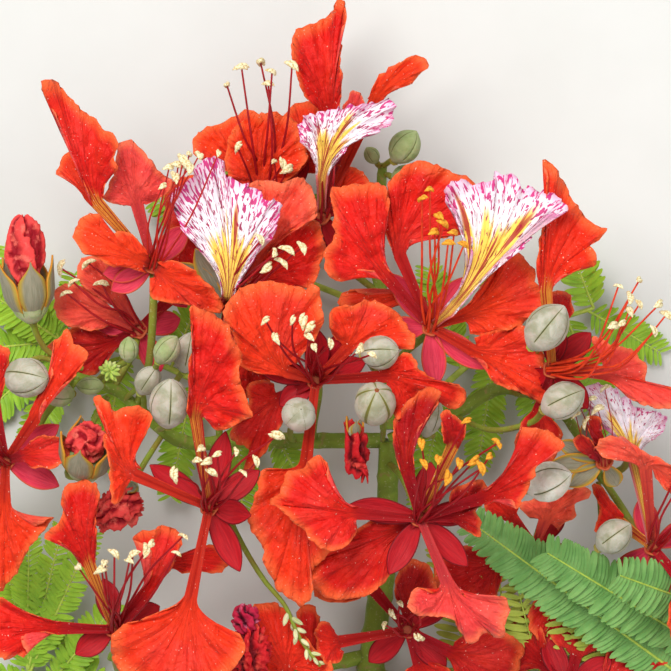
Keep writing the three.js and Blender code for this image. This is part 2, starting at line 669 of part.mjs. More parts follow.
// A side rib's blade, cut in to the rib between its leaflets.
function spray({ from, to, leaflet, pairs }, extra = 0) {
  const start = vec(from);
  const end = vec(to);
  const length = start.distanceTo(end);
  const bare = length - pairs * leafletPitch;
  const rib = ribWidth / 2 + extra;
  const edge = [];
  edge.push([-extra, rib]);
  for (let k = 0; k < pairs; k++) {
    const root = bare + k * leafletPitch;
    const share = Math.sin(Math.PI * (0.2 + (0.68 * (k + 0.5)) / pairs)) ** 0.7;
    const out = leaflet * share + extra;
    edge.push([root - extra, rib]);
    edge.push([root + leafletLean - extra, out]);
    edge.push([root + leafletLean + leafletPitch * 0.72 + extra, out - 0.6]);
  }
  edge.push([length + extra, rib]);
  const outline = [...edge, ...edge.map(([a, b]) => [a, -b]).reverse()];
  const shape = new THREE.Shape(outline.map(([a, b]) => new THREE.Vector2(a, b)));
  const thickness = leafThickness + 2 * extra;
  const blade = new THREE.ExtrudeGeometry(shape, { depth: thickness, bevelEnabled: false });
  blade.translate(0, 0, -thickness / 2);
  const along = end.clone().sub(start).normalize();
  const side = up.clone().cross(along).normalize();
  const normal = along.clone().cross(side);
  const place = new THREE.Matrix4().makeBasis(along, side, normal).setPosition(start);
  blade.applyMatrix4(place);
  return blade;
}

// Keeping to its own space: what is already placed, each grown by the clearance, is cut from what comes later.
const taken = [];

function cutClear(solid, ownName) {
  let left = solid;
  for (const other of taken) {
    if (other.name === ownName) continue;
    left = left.subtract(other.grown);
  }
  return left;
}

function joined(solids) {
  return wasm.Manifold.union(solids);
}

// The largest piece of what is left, with loose scraps dropped.
function largest(solid) {
  const pieces = solid.decompose();
  return pieces.reduce((best, piece) => (piece.volume() > best.volume() ? piece : best));
}

const group = new THREE.Group();

function addNode(name, solid, colour) {
  const material = new THREE.MeshStandardMaterial({ color: colour, roughness: 0.6, metalness: 0 });
  const mesh = new THREE.Mesh(geometryOf(solid), material);
  mesh.name = name;
  group.add(mesh);
}

for (const [name, { points, radii, sides, steps }] of Object.entries(axes)) {
  const own = largest(cutClear(solidOf(limb(points, radii, sides, steps)), name));
  addNode(name, own, colours.stem);
  taken.push({ name, grown: solidOf(limb(points, radii, sides, steps, clearance)) });
}

// Stalks go in before anything that stands on them, so that none is cut in two by a petal.
const stalks = {};

function addStalk(name, top, way, radius, sides) {
  const points = [top, ...way];
  const steps = way.length + 1;
  const own = cutClear(solidOf(limb(points, [radius * 1.15, radius], sides, steps)), name);
  stalks[name] = largest(own);
  taken.push({ name, grown: solidOf(limb(points, [radius * 1.15, radius], sides, steps, clearance)) });
}

const hung = { ...buds, ...burstBuds };
for (const [name, { at, stalk }] of Object.entries(blooms)) {
  addStalk(name, [at[0], at[1], at[2] - cupDepth / 2], stalk, stalkRadius, stalkSides);
}
for (const [name, { at, stalk }] of Object.entries(hung)) {
  addStalk(name, at, stalk, budStalkRadius, budStalkSides);
}

function budBody(at, aim, [length, width], extra = 0) {
  const r = width / 2 + extra;
  const h = length + 2 * extra;
  const profile = [[0, 0], [0.72 * r, 0.1 * h], [r, 0.42 * h], [0.66 * r, 0.8 * h], [0, h]];
  const direction = vec(aim).normalize();
  return turned(profile, 6, vec(at).addScaledVector(direction, -h / 2), direction);
}

for (const [name, { at, aim, size, petals }] of Object.entries(hung)) {
  const parts = (extra) => {
    const list = [solidOf(budBody(at, aim, size, extra))];
    if (petals) list.push(solidOf(crumple(vec(at).add(vec(petals.step)), petals.size, petals.seed, extra)));
    return joined(list);
  };
  const own = joined([stalks[name], cutClear(parts(0), name)]);
  addNode(name, largest(own), petals ? colours.withered : colours.bud);
  taken.push({ name, grown: parts(clearance) });
}

function bloomParts({ at, petals, sepals, stamens }, extra) {
  const centre = vec(at);
  const cup = cupRadius + extra;
  const depth = cupDepth + 2 * extra;
  const profile = [[0, 0], [0.78 * cup, 0], [cup, depth], [0, depth]];
  const list = [turned(profile, 6, centre.clone().addScaledVector(up, -0.8 * depth), up)];
  const large = stamens ? largeRows : smallRows;
  for (const shape of petals) {
    const step = vec(shape.neck).setZ(0).normalize().multiplyScalar(petalSeat);
    const whole = { ...shape, base: centre.clone().add(step) };
    whole.neck = centre.clone().add(vec(shape.neck));
    whole.tip = centre.clone().add(vec(shape.tip));
    list.push(petal(whole, extra, large, [-1, 0, 1]));
  }
  for (const tip of sepals) {
    const step = vec(tip).setZ(0).normalize().multiplyScalar(sepalSeat).setZ(-sepalDrop);
    list.push(sepal(centre.clone().add(step), centre.clone().add(vec(tip)), extra));
  }
  if (stamens) list.push(...filaments(centre, stamens, extra));
  return joined(list.map(solidOf));
}

for (const [name, bloom] of Object.entries(blooms)) {
  const own = joined([stalks[name], cutClear(bloomParts(bloom, 0), name)]);
  addNode(name, largest(own), colours.petal);
  taken.push({ name, grown: bloomParts(bloom, clearance) });
}

for (const [name, { rib, sprays }] of Object.entries(leaves)) {
  const parts = (extra) => {
    const list = [solidOf(limb(rib, [1.5, 1.0], 5, 6, extra))];
    for (const shape of sprays) list.push(solidOf(spray(shape, extra)));
    return joined(list);
  };
  addNode(name, largest(cutClear(parts(0), name)), colours.leaf);
  taken.push({ name, grown: parts(clearance) });
}

const box = new THREE.Box3().setFromObject(group);
group.position.set(-(box.min.x + box.max.x) / 2, -(box.min.y + box.max.y) / 2, -box.min.z);

export default group;
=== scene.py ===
# Looks for the cut flowering branch end of a flame tree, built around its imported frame.
import json
import math

import bpy
import numpy as np
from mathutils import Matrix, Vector, noise


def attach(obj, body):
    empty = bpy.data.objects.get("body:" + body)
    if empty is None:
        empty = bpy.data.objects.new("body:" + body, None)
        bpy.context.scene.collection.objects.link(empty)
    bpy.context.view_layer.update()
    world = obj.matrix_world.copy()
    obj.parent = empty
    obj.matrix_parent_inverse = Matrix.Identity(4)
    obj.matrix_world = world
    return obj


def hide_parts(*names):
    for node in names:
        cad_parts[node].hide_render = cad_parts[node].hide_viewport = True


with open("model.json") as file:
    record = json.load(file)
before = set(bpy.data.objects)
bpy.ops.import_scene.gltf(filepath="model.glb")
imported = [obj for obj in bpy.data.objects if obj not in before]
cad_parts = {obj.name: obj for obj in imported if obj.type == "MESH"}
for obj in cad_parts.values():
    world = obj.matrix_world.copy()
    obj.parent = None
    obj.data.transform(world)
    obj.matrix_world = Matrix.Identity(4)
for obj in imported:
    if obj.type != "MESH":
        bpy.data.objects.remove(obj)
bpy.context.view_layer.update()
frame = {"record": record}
noise.seed_set(5)  # noise_vector differs from run to run without it

mm = 0.001
up = np.array([0.0, 0.0, 1.0])
turnStep = 2.4  # radians from one filament or sprig bud to the next
seedStep = 7.31  # how far one seed's noise lies from the next one's

# Places below are millimetres from the middle of the flower cluster.
# The cut end's mount ties them to the frame.
stemCut = np.array([12.0, -146.0, 12.0])
cutMount = next(m for m in frame["record"]["mounts"] if m["name"] == "cut_end")
shift = np.array(cutMount["pos_m"]) / mm - stemCut


def unit(v):
    return np.asarray(v, float) / np.linalg.norm(v)


def level(v):
    return np.array([v[0], v[1], 0.0])


def rightOf(v):
    return np.array([v[1], -v[0]])


# Two directions square to the one given
def crossways(onward, hint=(0.1, 0.2, 1.0)):
    side = unit(np.cross(onward, hint))
    return side, np.cross(side, onward)


def circle(count):
    return np.linspace(0, 2 * math.pi, count, endpoint=False)


def smooth(x, low, high):
    t = np.clip((x - low) / (high - low), 0, 1)
    return t * t * (3 - 2 * t)


def wild(x, y, z):
    return np.array(noise.noise_vector(Vector((x, y, z))))


# Soft noise for arrays of places, -1 to 1
def roughen(places, size, seed):
    flat = np.asarray(places, float).reshape(-1, 3) / size + seed * seedStep
    values = [noise.noise(Vector(p)) for p in flat]
    return np.array(values).reshape(np.asarray(places).shape[:-1])


# Folded noise with sharp creases, up to 1
def crease(places, size, seed):
    return 1 - 2.2 * np.abs(roughen(places, size, seed))


# A smooth way through points, as in the CAD limbs
def wayThrough(points, steps):
    p = np.array(points, float)
    ends = np.vstack([2 * p[0] - p[1], p, 2 * p[-1] - p[-2]])
    way = []
    for k in range(steps + 1):
        place = k / steps * (len(p) - 1)
        i = min(int(place), len(p) - 2)
        t = place - i
        a, b, c, d = ends[i:i + 4]
        ta, tb, tc = (max(np.linalg.norm(step), 1e-6) ** 0.5 for step in (b - a, c - b, d - c))
        startSlope = ((b - a) / ta - (c - a) / (ta + tb) + (c - b) / tb) * tb
        endSlope = ((c - b) / tb - (d - b) / (tb + tc) + (d - c) / tc) * tb
        way.append(
            (2 * t**3 - 3 * t**2 + 1) * b + (t**3 - 2 * t**2 + t) * startSlope
            + (3 * t**2 - 2 * t**3) * c + (t**3 - t**2) * endSlope
        )
    return np.array(way)


def addObject(name, data):
    made = bpy.data.objects.new(name, data)
    bpy.context.scene.collection.objects.link(made)
    return made


# Grids of points gathered into one mesh, with a map and two values for their materials
class Sheaf:
    def __init__(self):
        self.points, self.faces, self.maps, self.rims, self.tones, self.slots = [], [], [], [], [], []
        self.count = 0

    def grid(self, grid, rim, tone, slot=0, closed=False, flip=False, along=None):
        rows, columns = grid.shape[:2]
        self.points.append(grid.reshape(-1, 3))
        across = np.linspace(0, 1, columns)
        along = np.linspace(0, 1, rows) if along is None else along
        self.maps.append(np.stack(np.meshgrid(across, along), axis=-1).reshape(-1, 2))
        self.rims.append(np.broadcast_to(rim, (rows, columns)).reshape(-1))
        self.tones.append(np.full(rows * columns, float(tone)))
        i, j = np.meshgrid(np.arange(rows - 1), np.arange(columns if closed else columns - 1), indexing="ij")
        a = (i * columns + j).ravel() + self.count
        b = (i * columns + (j + 1) % columns).ravel() + self.count
        quads = np.stack([a, b, b + columns, a + columns], axis=1)
        self.faces.append(quads[:, ::-1] if flip else quads)
        self.slots.append(np.full(len(quads), slot))
        self.count += rows * columns

    # A closed tube with a cap on each end, the first one in another material if given
    def tube(self, grid, rim=0.5, tone=0.5, slot=0, footSlot=None):
        self.grid(grid, rim, tone, slot, closed=True)
        for ring, capSlot, flip in ((grid[0], footSlot or slot, True), (grid[-1], slot, False)):
            centre = np.broadcast_to(ring.mean(axis=0), ring.shape)
            self.grid(np.stack([ring, centre]), 0.0, 0.5, capSlot, closed=True, flip=flip)

    def build(self, name, *skins, place=shift, shadeSmooth=True):
        mesh = bpy.data.meshes.new(name)
        points = (np.vstack(self.points) + place) * mm
        faces = np.vstack(self.faces)
        mesh.from_pydata(points.tolist(), [], faces.tolist())
        for skin in skins:
            mesh.materials.append(finishes[skin])
        mesh.polygons.foreach_set("material_index", np.concatenate(self.slots))
        mesh.polygons.foreach_set("use_smooth", np.full(len(faces), shadeSmooth))
        layer = mesh.uv_layers.new(name="surfaceMap")
        layer.data.foreach_set("uv", np.vstack(self.maps)[faces.ravel()].ravel())
        for label, values in (("rim", self.rims), ("tone", self.tones)):
            mesh.attributes.new(label, "FLOAT", "POINT").data.foreach_set("value", np.concatenate(values))
        mesh.update()
        return addObject(name, mesh)


# A sheet gets its thickness from a modifier
def addWall(piece, thickness, offset, backSlot=0):
    wall = piece.modifiers.new(piece.name + "Wall", "SOLIDIFY")
    wall.thickness = thickness * mm
    wall.offset = offset
    wall.material_offset = backSlot


def hand(piece, slot, *nodes):
    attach(piece, "root")
    if nodes:
        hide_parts(*nodes)


# Materials: a value in a material's tree, so that sums of values read as on paper
class Signal:
    def __init__(self, finish, socket):
        self.finish, self.socket = finish, socket

    def __add__(self, other):
        return self.finish.sum("ADD", self, other)

    def __sub__(self, other):
        return self.finish.sum("SUBTRACT", self, other)

    def __mul__(self, other):
        return self.finish.sum("MULTIPLY", self, other)

    def __abs__(self):
        return self.finish.sum("ABSOLUTE", self)


def colour(code):
    parts = [int(code[k:k + 2], 16) / 255 for k in (0, 2, 4)]
    return (*[p / 12.92 if p < 0.04 else ((p + 0.055) / 1.055) ** 2.4 for p in parts], 1.0)


# A material laid from node helpers, with its colour built up in layers
class Finish:
    def __init__(self, name, roughness, specular, sheen=0.0, flesh=0.12):
        self.material = bpy.data.materials.new(name)
        self.material.use_nodes = True
        self.tree = self.material.node_tree
        self.shader = self.tree.nodes["Principled BSDF"].inputs
        for socket, value in (
            ("Roughness", roughness), ("Specular IOR Level", specular), ("Sheen Weight", sheen),
            ("Subsurface Weight", flesh), ("Subsurface Radius", (0.003, 0.001, 0.0006)),
            ("Subsurface Scale", 1.0),
        ):
            self.shader[socket].default_value = value
        self.place = self.node("ShaderNodeTexCoord", out="Object")

    # A node with its inputs fed in turn
    def node(self, kind, *given, out=0, **settings):
        made = self.tree.nodes.new(kind)
        for key, value in settings.items():
            setattr(made, key, value)
        for socket, value in zip(made.inputs, given):
            self.feed(socket, value)
        return Signal(self, made.outputs[out])

    def feed(self, socket, value):
        if isinstance(value, Signal):
            self.tree.links.new(value.socket, socket)
        elif value is not None:
            socket.default_value = colour(value) if isinstance(value, str) else value

    def sum(self, kind, a, b=0.0):
        return self.node("ShaderNodeMath", a, b, operation=kind)

    def ramp(self, value, low, high, first=0.0, last=1.0):
        return self.node("ShaderNodeMapRange", value, low, high, first, last, interpolation_type="SMOOTHSTEP")

    def mix(self, factor, a, b):
        return self.node("ShaderNodeMix", factor, *[None] * 5, a, b, out=2, data_type="RGBA")

    def lay(self, factor, coat):
        self.base = self.mix(factor, self.base, coat)

    def noise(self, scale, detail=3.0, swirl=0.0, vector=None):
        made = self.tree.nodes.new("ShaderNodeTexNoise")
        for socket, value in (
            ("Vector", vector or self.place), ("Scale", scale), ("Detail", detail), ("Distortion", swirl),
        ):
            self.feed(made.inputs[socket], value)
        return Signal(self, made.outputs[0])

    # Noise drawn out along a petal or sepal, another one for each seed
    def grainAlong(self, wide, long, seed, detail=3.0, swirl=0.0):
        across, along = self.map()
        vector = self.node("ShaderNodeCombineXYZ", across * wide, along * long, seed)
        return self.noise(1.0, detail, swirl, vector)

    def value(self, name):
        return self.node("ShaderNodeAttribute", attribute_name=name, out="Fac")

    def map(self):
        split = self.tree.nodes.new("ShaderNodeSeparateXYZ")
        self.feed(split.inputs[0], self.node("ShaderNodeUVMap", uv_map="surfaceMap"))
        return Signal(self, split.outputs[0]), Signal(self, split.outputs[1])

    def done(self, height=None, strength=0.4, depth=0.3, roughness=None):
        self.feed(self.shader["Base Color"], self.base)
        self.feed(self.shader["Roughness"], roughness)
        if height is not None:
            bump = self.tree.nodes.new("ShaderNodeBump")
            for socket, value in (("Strength", strength), ("Distance", depth * mm), ("Height", height)):
                self.feed(bump.inputs[socket], value)
            self.feed(self.shader["Normal"], Signal(self, bump.outputs[0]))
        return self.material


print("frame loaded, helpers ready")

# Petals: a deep claw, veins that fan out, blotches, and a paler orange rim, in part the petal's own colour
# and in part painted light through the thin edge. Tone mixes deep, clear and warm red, in part the petal's
# own colour and in part painted light, with deep red for shade and warm orange for lit petals, and two more
# on it gives a claw with golden stripes. Coral patches are a painted sheen, painted shade darkens the pleat
# furrows, and pale specks are pollen grains and painted glints of small drops.
def petalFinish(name, deep, clear, warm, claw, rimColour, paintedSheen):
    f = Finish(name, 0.5, 0.14, sheen=0.03)
    across, along = f.map()
    given = f.value("tone")
    striped = f.sum("GREATER_THAN", given, 1.5)
    tone = given - striped * 2.0
    seed = tone * 53.0
    veins = f.ramp(f.grainAlong(46.0, 3.0, seed, 3.0, 0.35), 0.46, 0.66)
    pleats = f.grainAlong(17.0, 3.5, seed, 4.0, 0.8)
    broad = f.ramp(f.grainAlong(12.0, 2.2, seed), 0.3, 0.7)
    blotch = f.ramp(f.noise(95.0, 4.0, 0.6), 0.35, 0.68)
    # Tone is in part painted light: deep red stands for a petal in shade, warm orange for a lit one
    f.base = f.mix(f.ramp(tone, 0.0, 0.5), deep, clear)
    f.lay(f.ramp(tone, 0.5, 1.0), warm)
    # Coral patches from broad noise: a painted sheen
    f.lay(f.ramp(f.noise(48.0, 2.0), 0.5, 0.72) * 0.5, paintedSheen)
    f.lay(blotch * broad * 0.7, f.mix(0.5, f.base, warm))
    warmClaw = f.mix(f.ramp(tone, 0.35, 0.95, 0.0, 0.7), claw, warm)
    f.lay(f.ramp(along, 0.20, 0.44, 1.0, 0.0) * 0.85, warmClaw)
    middle = abs(across - 0.5)
    f.lay(f.ramp(middle, 0.0, 0.14, 0.55, 0.0) * f.ramp(along, 0.28, 0.40, 1.0, 0.0), deep)
    stripes = striped * f.ramp(f.grainAlong(13.0, 0.8, seed, 2.0), 0.42, 0.54)
    f.lay(stripes * f.ramp(along, 0.28, 0.50, 0.9, 0.0), "F09A38")
    f.lay(veins * 0.18, deep)
    # Painted shade: deep red in the pleat furrows, where the bump below sinks
    f.lay(f.ramp(pleats, 0.30, 0.46, 0.22, 0.0), deep)
    # Paler orange rim: in part the petal's own colour, in part painted light through the thin edge
    f.lay(f.ramp(f.value("rim"), 0.80, 1.0, 0.0, 0.7), rimColour)
    # Pale specks: pollen grains, and painted glints of small drops
    f.lay(f.ramp(f.noise(1300.0, 1.0), 0.745, 0.77, 0.0, 0.8), "F6CDB8")
    grain = f.noise(520.0, 5.0, 0.5)
    wrinkle = f.noise(230.0, 3.0, 1.4)
    height = veins * 0.4 + (grain + wrinkle * 2.0) + pleats * 3.0
    return f.done(height, 0.75, 0.75, f.ramp(grain, 0.3, 0.7, 0.38, 0.56))


# The white petal: yellow rays with dark lines in its throat, and magenta dashes that crowd towards its rim
def streakedFinish():
    f = Finish("streakedPetal", 0.5, 0.2)
    across, along = f.map()
    tone = f.value("tone")
    middle = abs(across - 0.5)
    seed = tone * 50.0
    rays = f.grainAlong(22.0, 0.6, seed, 2.0) - 0.5
    lines = f.grainAlong(42.0, 1.6, seed, 1.0, 0.2)
    dashes = f.grainAlong(150.0, 21.0, seed, 2.0, 0.4)
    reach = along + rays * 0.9 + abs(tone - 0.4) * 0.2
    spread = middle + f.ramp(along, 0.42, 0.85, 0.0, 0.12)
    throat = f.ramp(reach, 0.66, 0.86, 1.0, 0.0) * f.ramp(spread, 0.28, 0.42, 1.0, 0.0)
    f.base = f.mix(f.ramp(throat, 0.05, 0.7), "F1E6EB", "F6CC58")
    f.lay(f.ramp(along, 0.30, 0.42, 1.0, 0.0) * f.ramp(middle, 0.10, 0.42) * 0.8, "D8402C")
    nearRim = f.value("rim") + (f.noise(150.0) - 0.5) * 0.3
    f.lay(f.ramp(nearRim, 0.80, 1.10, 0.0, 0.6), "DA4C9C")
    crowd = f.ramp(nearRim, 0.25, 0.95, -0.02, 0.09) + f.ramp(middle, 0.16, 0.42) * 0.045
    # A low tone thins the dashes and pales the petal: in part its own look, in part painted light on a petal
    # in shade
    crowd = crowd + (tone - 0.45) * 0.05
    streak = f.ramp(dashes + crowd, 0.605, 0.645) * 0.95
    f.lay(streak, f.mix(f.ramp(nearRim, 0.45, 1.0), "90183C", "C61A72"))
    f.lay(f.ramp(lines, 0.545, 0.58) * f.ramp(reach, 0.70, 0.86, 1.0, 0.0) * 0.9, "A0162C")
    return f.done(rays * 3.0 + f.noise(600.0, 4.0), 0.5, 0.6)


def sepalFinish(name, inside, margin, vein, edge=0.80, blend=0.15, outermost=None):
    f = Finish(name, 0.5, 0.15)
    veins = f.ramp(f.grainAlong(16.0, 3.0, f.value("tone") * 30.0), 0.4, 0.65)
    f.base = f.mix(veins * 0.5, inside, vein)
    f.lay(f.ramp(f.value("rim"), edge, edge + blend, 0.0, 0.9), margin)
    f.lay(f.ramp(f.value("rim"), 0.78, 0.95, 0.0, 0.9), outermost or margin)
    return f.done(veins + f.noise(700.0), 0.3, 0.4)


def barkFinish(name, main, dark, pale, rough=0.5):
    f = Finish(name, rough, 0.2)
    specks = f.ramp(f.noise(900.0, 2.0), 0.60, 0.72)
    f.base = f.mix(f.ramp(f.noise(90.0, 4.0, 0.8), 0.35, 0.7) * 0.7, main, dark)
    f.lay(specks * 0.55, pale)
    f.lay(f.ramp(f.value("rim"), 0.5, 0.95) * f.ramp(f.noise(600.0), 0.42, 0.6) * 0.7, "9A8450")
    return f.done(specks + f.noise(420.0, 5.0), 0.5, 0.4)


# Buds are velvety grey-white over green. Rim is the distance to the nearest seam, tone the seam's half width.
def budFinish(name, skin, under, seam, wool, tip=None):
    f = Finish(name, 0.85, 0.12, sheen=0.12)
    tone = f.value("tone")
    down = f.noise(1500.0, 5.0, 0.4)
    f.base = f.mix(f.ramp(f.noise(190.0, 4.0, 0.7), 0.36, 0.66) * wool, skin, under)
    f.lay(f.ramp(down, 0.56, 0.72, 0.0, 0.35), "8C8A70")
    f.lay(f.ramp(f.noise(110.0), 0.50, 0.68, 0.0, 0.45), "CDB4A8")
    ragged = f.value("rim") + (f.noise(700.0) - 0.5) * 0.04
    f.lay(f.ramp(ragged, tone, tone * 2.6, 0.45, 0.0), "9C9A6C")
    f.lay(f.ramp(ragged, tone * 0.55, tone, 0.95, 0.0), seam)
    if tip:
        f.lay(f.ramp(f.map()[1], 0.980, 0.992), tip)
    return f.done(down, 0.6, 0.5)


# Folded petals of burst and withered buds, with painted shade in their folds, where each edge laps over the
# next
def foldedFinish(name, crest, fold, spot, rough=0.55):
    f = Finish(name, rough, 0.15)
    f.base = f.mix(f.ramp(f.value("rim"), 0.15, 0.75), fold, crest)
    f.lay(f.ramp(f.noise(260.0, 4.0), 0.52, 0.66, 0.0, 0.8), spot)
    return f.done(f.noise(620.0, 5.0, 1.0), 0.8, 0.6)


def plainFinish(name, main, other, rough=0.45, size=500.0, share=0.6, bump=0.3):
    f = Finish(name, rough, 0.25)
    f.base = f.mix(f.ramp(f.noise(size), 0.38, 0.66) * share, main, other)
    return f.done(f.noise(size * 2), bump)


finishes = {
    "petal": petalFinish("petalRed", "9C0A10", "D81C14", "EC3C16", "B01020", "FA6E38", "E83A34"),
    # The far side of every petal. Turned up on petals whose face is back, its paler coral is also painted
    # light and sheen on petals that lie in shade.
    "petalBack": petalFinish("petalBack", "B82A34", "E6403E", "EE5238", "CC3440", "FF7A50", "F06050"),
    "streaked": streakedFinish(),
    "streakedBack": petalFinish(
        "streakedPetalBack", "D88AA8", "F0C4CC", "F8E0C8", "D85A48", "D860A0", "F4D8D8"),
    "sepal": sepalFinish("sepalInside", "B21820", "720A14", "8A0E1A", 0.88),
    "sepalBack": sepalFinish("sepalOutside", "8E8872", "A88C2E", "6C6A52", 0.26, 0.45, "C88426"),
    "sepalPink": sepalFinish("sepalInsidePink", "D83A50", "C84A30", "B01E3A"),
    "stalk": barkFinish("stalkSkin", "859632", "8E6E30", "B4B874"),
    "stem": barkFinish("stemBark", "869E36", "64762A", "B4BA7C", 0.55),
    "cutWood": plainFinish("cutWood", "D8C898", "B89A62", 0.75, 900.0),
    "cup": plainFinish("cupFlesh", "B8562C", "982C20", 0.5),
    "filament": plainFinish("filamentRed", "9C121A", "7A0A14", 0.35, 300.0),
    "filamentMid": plainFinish("filamentScarlet", "B8241A", "96141A", 0.35, 300.0),
    "filamentWarm": plainFinish("filamentOrange", "D8401A", "B01A18", 0.35, 300.0),
    "anther": plainFinish("antherCream", "F4E8BC", "C09A58", 0.7, 1300.0, 0.8, 0.8),
    "antherWarm": plainFinish("antherOrange", "F2A82E", "C87818", 0.6, 1300.0, 0.8, 0.8),
    "budGrey": budFinish("budGrey", "B8B3A1", "8C8C6C", "4C4A24", 0.75),
    "budGreen": budFinish("budGreen", "A2AE78", "809650", "5E6E32", 0.7),
    "budRipe": budFinish("budRipe", "B6B09A", "8A8A64", "6E6A22", 0.7, "8E3418"),
    # A paler copy of the grey bud skin: painted light for a bud that lies in the shade of petals
    "budPaintedLight": budFinish("budPaintedLight", "DEDBCB", "B0AE92", "4C4A24", 0.7),
    "budYoung": budFinish("budYoung", "DAD8A6", "B2BC74", "7A8A38", 0.7),
    "budFresh": budFinish("budFresh", "B6CC62", "98B444", "7A8A38", 0.7),
    # Folded finishes: crest colour, painted shade in the folds, and spots
    "withered": foldedFinish("witheredPetal", "C01C22", "640A12", "DE4A3C", 0.6),
    "witheredDark": foldedFinish("witheredDark", "B01C3C", "4A0818", "DC7290", 0.6),
    "crumpled": foldedFinish("crumpledCoral", "DE4440", "92121E", "EA6C5C"),
    "leafBlue": plainFinish("leafletBlueGreen", "78A458", "588C40", 0.6, 160.0),
    "leafBright": plainFinish("leafletBright", "98C034", "76A42C", 0.5, 160.0),
    "leafUnder": plainFinish("leafletUnderside", "AEB848", "8E9C36", 0.55, 160.0),
    "rachis": plainFinish("leafRib", "B8CC54", "8EAA3E", 0.5, 300.0),
}
print("finishes made:", len(finishes))


# Geometry Nodes trees: round limbs along ways, anthers on filaments' tips, leaflets in pairs
class Growth:
    def __init__(self, name, **inputs):
        self.tree = bpy.data.node_groups.new(name, "GeometryNodeTree")
        for label, kind in {"Geometry": "Geometry", "skin": "Material", **inputs}.items():
            self.tree.interface.new_socket(label, in_out="INPUT", socket_type="NodeSocket" + kind)
        self.tree.interface.new_socket("Geometry", in_out="OUTPUT", socket_type="NodeSocketGeometry")
        self.given = self.tree.nodes.new("NodeGroupInput").outputs

    # Links are fed by the place or the name of an input. A list goes into one input one by one.
    def put(self, kind, links, out=0, **settings):
        made = self.tree.nodes.new(kind)
        for key, value in settings.items():
            setattr(made, key, value)
        for key, value in links.items():
            for given in value if isinstance(value, list) else [value]:
                if isinstance(given, bpy.types.NodeSocket):
                    self.tree.links.new(given, made.inputs[key])
                else:
                    made.inputs[key].default_value = given
        return made.outputs[out]

    def calc(self, kind, a, b):
        return self.put("ShaderNodeMath", {0: a, 1: b}, operation=kind)

    def random(self, low, high, seed):
        if isinstance(low, tuple):
            return self.put("FunctionNodeRandomValue", {0: low, 1: high, 8: seed}, data_type="FLOAT_VECTOR")
        return self.put("FunctionNodeRandomValue", {2: low, 3: high, 8: seed}, 1, data_type="FLOAT")

    def turned(self, stance, turn):
        return self.put("FunctionNodeRotateRotation", {0: stance, 1: turn}, rotation_space="LOCAL")

    def spun(self, stance, axis, angle):
        return self.turned(stance, self.put("FunctionNodeAxisAngleToRotation", {0: axis, 1: angle}))

    def finish(self, result):
        real = self.put("GeometryNodeRealizeInstances", {0: result})
        painted = self.put("GeometryNodeSetMaterial", {0: real, "Material": self.given["skin"]})
        self.tree.links.new(painted, self.tree.nodes.new("NodeGroupOutput").inputs[0])
        return self.tree


def roundLimbs():
    g = Growth("roundLimbs", sides="Int")
    ring = g.put("GeometryNodeCurvePrimitiveCircle", {"Resolution": g.given["sides"], "Radius": 1.0})
    girth = g.put("GeometryNodeInputRadius", {})
    tube = g.put("GeometryNodeCurveToMesh", {0: g.given["Geometry"], 1: ring, 2: girth, 3: True})
    return g.finish(g.put("GeometryNodeSetShadeSmooth", {0: tube}))


# An anther sits on the end of each filament, most of them lying up and down the picture
def anthersOnTips():
    g = Growth("anthersOnTips", anther="Object", size="Float", seed="Int")
    seed = g.given["seed"]
    anther = g.put("GeometryNodeObjectInfo", {"Object": g.given["anther"]}, "Geometry")
    ends = g.put("GeometryNodeCurveEndpointSelection", {0: 0, 1: 1})
    onward = g.put("GeometryNodeInputTangent", {})
    lying = g.random((-0.8, 0.5, -0.3), (0.8, 1, 0.3), seed)
    stance = g.put("FunctionNodeAxesToRotation", {0: onward, 1: lying})
    tilt = g.put("FunctionNodeEulerToRotation", {0: g.random((-0.5, -0.6, -0.4), (0.5, 0.6, 0.4), seed)})
    size = g.calc("MULTIPLY", g.random(0.75, 1.25, seed), g.given["size"])
    return g.finish(g.put("GeometryNodeInstanceOnPoints", {
        0: g.given["Geometry"], 1: ends, 2: anther, 5: g.turned(stance, tilt), 6: size,
    }))


# Leaflets stand in pairs along each side rib, leaning forward and tipped up
def pairedLeaflets():
    g = Growth("pairedLeaflets", pitch="Float", leaflet="Object", lean="Float", lift="Float", twist="Float",
               seed="Int")
    even = g.put("GeometryNodeResampleCurve", {0: g.given["Geometry"], "Length": g.given["pitch"]},
                 mode="LENGTH")
    leaflet = g.put("GeometryNodeObjectInfo", {"Object": g.given["leaflet"]}, "Geometry")
    onward = g.put("GeometryNodeInputTangent", {})
    square = g.put("ShaderNodeVectorMath", {0: (0.0, 0.0, 1.0), 1: onward}, operation="CROSS_PRODUCT")
    along = g.put("FunctionNodeAxesToRotation", {0: onward, 1: square}, primary_axis="X", secondary_axis="Y")
    girth = g.put("GeometryNodeInputRadius", {})
    rows = []
    for side, otherSeed in ((1.0, 0), (-1.0, 77)):
        seed = g.calc("ADD", g.given["seed"], otherSeed)
        lean = g.calc("ADD", g.given["lean"], g.random(-0.13, 0.13, seed))
        stance = g.spun(along, (0.0, 0.0, 1.0), g.calc("MULTIPLY", lean, side))
        lift = g.calc("MULTIPLY", g.given["lift"], g.random(0.4, 1.5, seed))
        stance = g.spun(stance, (0.0, 1.0, 0.0), g.calc("MULTIPLY", lift, -1.0))
        twist = g.calc("MULTIPLY", g.random(0.1 * side, side, seed), g.given["twist"])
        stance = g.spun(stance, (1.0, 0.0, 0.0), twist)
        rows.append(g.put("GeometryNodeInstanceOnPoints", {0: even, 2: leaflet, 5: stance, 6: girth}))
    return g.finish(g.put("GeometryNodeJoinGeometry", {0: rows}))


